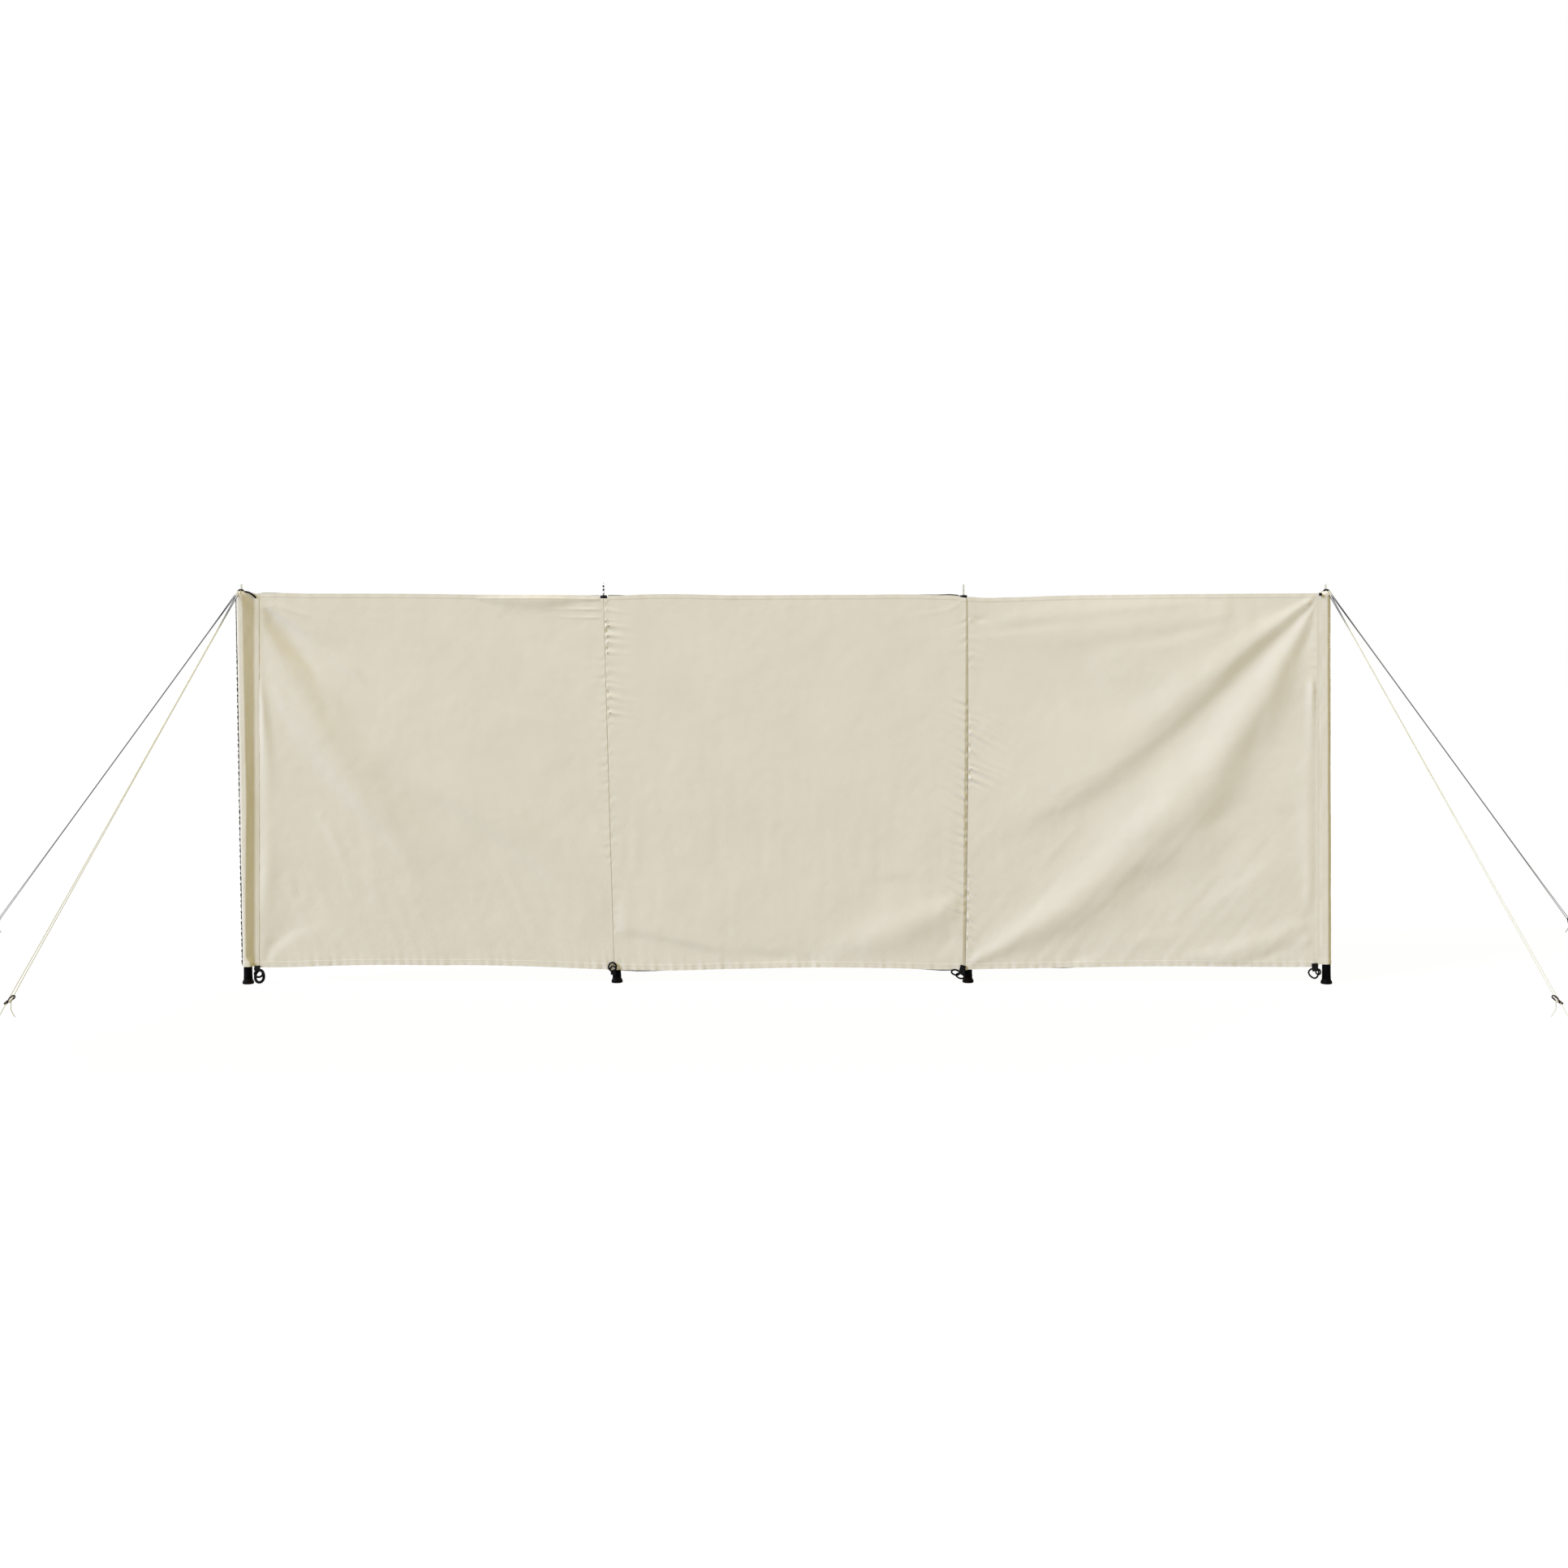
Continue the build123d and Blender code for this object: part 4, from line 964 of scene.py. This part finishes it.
# Peg tabs and elastic peg loops
tabLook = {
    "thickness": 0.0014,
    "spacing": 0.0012,
    "laps": (0.0022, 0.0044),  # how far in front of the cloth each end of the tape is
    "wrap": [  # depth in front of the cloth and height above the hem's edge, along the folded tape below the laps
        (0.0024, -0.001), (0.0028, -0.006), (0.0050, -0.0140), (0.0095, -0.0150), (0.0138, -0.0095),
        (0.0110, -0.0040), (0.0052, -0.001)],
    # across from the pole's axis, width, turn in degrees, lap above the hem, and the bay and share of the cloth behind
    "tabs": {
        0: (0.036, 0.021, 3.0, 0.002, 0, 0.0),
        1: (-0.010, 0.018, 0.0, 0.002, 0, 0.995),
        2: (-0.025, 0.021, -14.0, 0.020, 1, 0.980),
        3: (-0.049, 0.022, 3.0, 0.014, 2, 0.990),
    },
}
loopLook = {
    "spacing": 0.0012,
    "sag": 0.0012,
    # across and height of the middle, half width, half height, turn in degrees, pear share, depth in front, radius
    "rings": {
        0: [(0.0455, 0.0285, 0.0170, 0.0240, -8.0, 0.1, 0.0080, 0.0054),
            (0.0450, 0.0400, 0.0160, 0.0135, 6.0, 0.0, 0.0170, 0.0042)],
        1: [(-0.0125, 0.0660, 0.0150, 0.0165, 0.0, 0.1, 0.0060, 0.0032),
            (-0.0100, 0.0580, 0.0115, 0.0105, 20.0, 0.0, 0.0120, 0.0028)],
        2: [(-0.0500, 0.0445, 0.0165, 0.0098, -14.0, 0.0, 0.0060, 0.0034),
            (-0.0335, 0.0320, 0.0165, 0.0090, -20.0, 0.0, 0.0122, 0.0032)],
        3: [(-0.0530, 0.0430, 0.0195, 0.0195, 14.0, -0.35, 0.0060, 0.0033),
            (-0.0390, 0.0500, 0.0095, 0.0110, 30.0, 0.0, 0.0122, 0.0030)],
    },
}


def swung(across, up, degrees):  # a place turned in the plane of the cloth
    turn = math.radians(degrees)
    return across * math.cos(turn) - up * math.sin(turn), across * math.sin(turn) + up * math.cos(turn)


for index, (across, width, swing, lap, bay, share) in tabLook["tabs"].items():
    name, hem = layout["poles"][index], layout["hems"][index]
    front = panelPoints(bay, share, 0.0)[1] - layout["setbacks"][index]
    first, last = tabLook["laps"]
    wrap = [(first, lap), *tabLook["wrap"], (last, lap)]
    fold = splinePath([(0.0, depth, height) for depth, height in wrap], tabLook["spacing"])
    spread = np.linspace(-width / 2, width / 2, 9)
    offX, offZ = swung(spread[None, :], fold[:, 2:], swing)
    grid = polePoint(index, across + offX, hem + offZ, front - fold[:, 1:2])[:, ::-1]
    parts = sheetParts(grid, tabLook["thickness"], flatGrid(spread, np.arange(len(grid)) * tabLook["spacing"]))
    meshPiece(name + "PegTab", parts, "black_webbing", [name + "_peg_tab"])
    rings = []
    for middle, height, half, tall, tilt, pear, depth, radius in loopLook["rings"][index]:
        angle = evenAngles(10)
        wide, high = swung(half * (1 - pear * np.sin(angle)) * np.cos(angle), tall * np.sin(angle), tilt)
        sag = loopLook["sag"] * np.sin(3 * angle + middle * 90)
        control = polePoint(index, middle + wide, height + high, front - depth + sag)
        control[:, 2] = np.maximum(control[:, 2], radius)
        rings.append(tubeParts(splinePath(control, loopLook["spacing"], True), radius, closed=True))
    meshPiece(name + "PegLoops", joined(rings), "black_elastic", [name + "_peg_loops"])
print("tabs and loops made")

# Guy ropes
ropeLook = {
    "radius": 0.0015,
    "lay": 0.0048,
    "spacing": 0.0018,
    "lead": 0.024,  # straight rope kept beside each turn
    "spikeTurn": 0.0052,
    "pegTurn": 0.0081,
    "bendStart": 0.006,
    "bend": 0.008,
    "hitchHeight": 0.022,
    "hitchLength": 0.070,
    "hitchEnd": 0.0046,  # where the hitch's tail meets the wraps, beside the long strand
    "wraps": (0.006, 0.0022, 0.0062, 4, 0.0042),  # place along and beside, size, turns and pitch
    "knot": (0.0048, 0.0030, 2, 0.0036),  # place past the runner, size, turns and pitch
    "tail": (0.018, 0.004, 0.048),  # inward, back and down from the knot
    "tailBow": (0.006, 0.0, -0.004),
    "tailStart": (-0.004, 0.0, -0.008),
    "tailLowest": 0.004,
    "guys": {  # outward, back, runner share, loop height and slot
        "front": (0.440, -1.250, 0.912, 1.4915, "pale_rope"),
        # the back ropes' grey is painted shade
        "back": (1.280, 0.620, 0.905, 1.4947, "grey_rope"),
    },
    "strands": {  # share of the way down to the runner, and each strand's distance from the middle
        "front": ((0.05, 0.0017), (0.45, 0.0017), (0.78, 0.0040)),
        "back": ((0.05, 0.0018), (0.45, 0.0017), (0.80, 0.0019)),
    },
}


def coil(centre, along, across, size, turns, pitch):  # corners of a squared coil
    up = np.cross(along, across)
    corners = [across + up, up - across, -across - up, across - up]
    return [centre + size * corners[k % 4] + along * pitch * (k / 4 - turns / 2) for k in range(int(4 * turns))]


for index, end, side in ((0, "left", -1), (3, "right", 1)):
    for guy, (outward, reach, share, level, slot) in ropeLook["guys"].items():
        top = polePoint(index, 0.0, level)
        upDir, flatDir = np.array((0.0, 0.0, 1.0)), unit(np.array((side * outward, reach, 0.0)))
        acrossDir = -side * np.cross(upDir, flatDir)
        bendStart, bend = ropeLook["bendStart"], ropeLook["bend"]
        span = math.hypot(outward, reach) - bendStart
        fall = ropeLook["hitchHeight"] - top[2] + bend
        leave = math.atan2(fall, span) + math.acos(bend / math.hypot(span, fall))
        runLength = math.sqrt(span**2 + fall**2 - bend**2)
        runDir = flatDir * math.sin(leave) - upDir * math.cos(leave)
        bendEnd = top + flatDir * (bendStart + bend * math.cos(leave)) + upDir * bend * (math.sin(leave) - 1)
        corner = bendStart + bend * math.tan((math.pi / 2 - leave) / 2)

        def topAt(along, across):
            return top + flatDir * along + acrossDir * across

        def runAt(distance, across):
            return bendEnd + runDir * distance + acrossDir * across

        def sided(offset):  # mirrored between the two ends
            return np.array(offset) * (side, 1, 1)

        turn, peg, lead = ropeLook["spikeTurn"], ropeLook["pegTurn"], ropeLook["lead"]
        runner, hitchLength = runLength * share, ropeLook["hitchLength"]
        far = 2 * peg - turn
        past, size, turns, pitch = ropeLook["knot"]
        knot = runAt(runner + past, turn)
        inward, back, down = ropeLook["tail"]
        tailEnd = knot + np.array((-side * inward, back * side, -down))
        tailEnd[2] = max(tailEnd[2], ropeLook["tailLowest"])
        tied = [tailEnd, (tailEnd + knot) / 2 + sided(ropeLook["tailBow"]), knot + sided(ropeLook["tailStart"])]
        tied += coil(knot, runDir, acrossDir, size, turns, pitch)
        strands = ropeLook["strands"][guy]
        loop = [runAt(runner - lead, turn)] + [runAt(runner * way, off) for way, off in strands[::-1]]
        loop += [topAt(along * way, across * turn) for along, way, across in (
            (corner, 1, 1), (turn, 1, 1), (turn, -1, 1), (turn, -1, -1), (turn, 1, -1), (corner, 1, -1))]
        loop += [runAt(runner * way, -off) for way, off in strands]
        loop += [runAt(runner - lead, -turn), runAt(runner + lead, -turn)]
        hitch = [runAt(runLength + way, across) for way, across in (
            (-2 * hitchLength, -turn), (-lead, -turn), (peg, -turn), (peg, far), (-lead, far),
            (-hitchLength, ropeLook["hitchEnd"] - turn))]
        before, beside, size, turns, pitch = ropeLook["wraps"]
        wraps = coil(runAt(runLength - hitchLength - before, beside - turn), -runDir, acrossDir, size, turns, pitch)
        path = splinePath(tied + loop + hitch + wraps, ropeLook["spacing"])
        parts = tubeParts(path, ropeLook["radius"], lobes=3, lay=ropeLook["lay"])
        node = end + "_" + guy + "_rope"
        meshPiece(end + guy.title() + "Rope", parts, slot, [node])
        print(node, len(parts[1]), "faces")

# Feet, caps and spikes
turnedLook = {  # radius and height, from the bottom up
    "foot": [
        (0.0190, -0.002), (0.0208, 0.0008), (0.0214, 0.0030), (0.0213, 0.0075), (0.0203, 0.0110), (0.0181, 0.0142),
        (0.0168, 0.0180), (0.0163, 0.0240), (0.0168, 0.0255), (0.0168, 0.0285), (0.0162, 0.0300), (0.0160, 0.0600),
        (0.0159, 0.0790), (0.0152, 0.0800), (0.0126, 0.0800), (0.0126, 0.0760)],
    "cap": [
        (0.0112, 1.4200), (0.0113, 1.4597), (0.0128, 1.4600), (0.0135, 1.4606), (0.0136, 1.4700), (0.0132, 1.4725),
        (0.0120, 1.4738), (0.0100, 1.4740), (0.0036, 1.4740)],
    "spike": [
        (0.0024, 1.4625), (0.0024, 1.4738), (0.0030, 1.4743), (0.0035, 1.4748), (0.0035, 1.5132), (0.0033, 1.5150),
        (0.0026, 1.5185), (0.0017, 1.5212), (0.0003, 1.5220)],
    "slots": {"foot": "black_rubber", "cap": "black_plastic", "spike": "bright_steel"},
    "darkSpike": "left_mid",
    "sharp": 40.0,
}
roundedLook = {  # slot, and how far the edges are rounded
    "runner": ("brown_plastic", 0.0014), "peg": ("black_plastic", 0.0016),
    "flatness": 0.02, "edge": 0.4, "sharp": 50.0,  # angles, in radians and then degrees
}
for index, name in enumerate(layout["poles"]):
    for piece, slot in turnedLook["slots"].items():
        look = "dark_steel" if piece == "spike" and name == turnedLook["darkSpike"] else slot
        parts = latheParts(index, turnedLook[piece])
        meshPiece(name + piece.title(), parts, slot, [name + "_" + piece], look, turnedLook["sharp"])
    nodes[name + "_pole"].material_slots[0].material = looks["pole_steel"]
for end, guy, piece in ((e, g, p) for e in ("left", "right") for g in ("front", "back") for p in ("runner", "peg")):
    slot, radius = roundedLook[piece]
    name = end + "_" + guy + "_" + piece
    shape = bmesh.new()  # a copy of the solid with its edges rounded
    shape.from_mesh(nodes[name].data)
    shape.transform(nodes[name].matrix_world)
    bmesh.ops.remove_doubles(shape, verts=shape.verts, dist=1e-6)
    bmesh.ops.dissolve_limit(shape, angle_limit=roundedLook["flatness"], verts=shape.verts, edges=shape.edges)
    sharp = [edge for edge in shape.edges if edge.calc_face_angle(0.0) > roundedLook["edge"]]
    bmesh.ops.bevel(shape, geom=sharp, offset=radius, segments=3, profile=0.5, affect="EDGES", clamp_overlap=True)
    shape.verts.index_update()
    parts = [tuple(v.co) for v in shape.verts], [[v.index for v in face.verts] for face in shape.faces]
    shape.free()
    meshPiece(end + guy.title() + piece.title(), parts, slot, [name], sharp=roundedLook["sharp"])
print("turned pieces made")

# Floor, light and camera
stageLook = {
    "floor": 30.0, "floorMiddle": 2, "floorGrey": (0.30, 0.30, 0.30), "floorPale": (0.92, 0.92, 0.92), "paper": 0.93,
    "sky": 0.785, "skyColour": (1.0, 0.86, 0.38),
    "lamps": {  # strength, colour, width in degrees, and where from
        "key": (4.68, (0.595, 0.685, 1.0), 24.0, (-0.78, -0.45, 0.45)),
        "backFill": (2.6, (0.52, 0.64, 1.0), 40.0, (0.30, 0.80, 0.50)),
    },
    "eye": (2.0307, -7.0, 1.25), "sensor": 36.0, "lens": 42.391, "shift": -0.08295,
}


def emptyTree(owner, kind):  # a cleared node tree, and its output's socket
    owner.use_nodes = True
    owner.node_tree.nodes.clear()
    return Wire(owner.node_tree), owner.node_tree.nodes.new("ShaderNodeOutput" + kind).inputs[0]


size, middle = stageLook["floor"], stageLook["floorMiddle"]
floorMesh = bpy.data.meshes.new("floor")
corners = [(middle + size * x, size * y, 0) for x, y in ((-1, -1), (1, -1), (1, 1), (-1, 1))]
floorMesh.from_pydata(corners, [], [(0, 1, 2, 3)])
floorLook = bpy.data.materials.new("floorLook")
start, surface = emptyTree(floorLook, "Material")
white = start.node("Emission", {}, {"Color": (1.0, 1.0, 1.0), "Strength": 1.0})
pale, grey = (start.node("BsdfDiffuse", {}, {"Color": stageLook[tone]}) for tone in ("floorPale", "floorGrey"))
seen = start.node("MixShader", {}, {0: stageLook["paper"], 1: pale, 2: white})
onCamera = start.node("LightPath", {}, {})
start.feed(surface, start.node("MixShader", {}, {0: onCamera, 1: grey, 2: seen}))
floorMesh.materials.append(floorLook)
floor = placed("floor", floorMesh)

world = bpy.data.worlds.new("studio")
bpy.context.scene.world = world
start, surface = emptyTree(world, "World")
onCamera = start.node("LightPath", {}, {})
glossy, through = (
    Wire(start.tree, onCamera.socket.node.outputs[name]) for name in ("Is Glossy Ray", "Is Transmission Ray"))
sky = start.node("Background", {}, {"Color": stageLook["skyColour"], "Strength": stageLook["sky"]})
paper = start.node("Background", {}, {"Color": (1.0, 1.0, 1.0), "Strength": 1.0})
start.feed(surface, start.node("MixShader", {}, {0: onCamera.most(glossy.most(through)), 1: sky, 2: paper}))

for name, (energy, colour, width, (east, north, up)) in stageLook["lamps"].items():
    lamp = bpy.data.lights.new(name, "SUN")
    lamp.energy, lamp.color, lamp.angle = energy, colour, math.radians(width)
    lampHolder = placed(name, lamp)
    lampHolder.rotation_euler = (math.atan2(math.hypot(east, north), up), 0.0, math.atan2(east, -north))

camera = bpy.data.cameras.new("camera")
camera.sensor_width, camera.lens, camera.shift_y = stageLook["sensor"], stageLook["lens"], stageLook["shift"]
cameraHolder = placed("camera", camera)
cameraHolder.location = stageLook["eye"]
cameraHolder.rotation_euler = (math.pi / 2, 0.0, 0.0)
bpy.context.scene.camera = cameraHolder
bpy.context.scene.view_settings.view_transform = "Standard"
print("stage made")
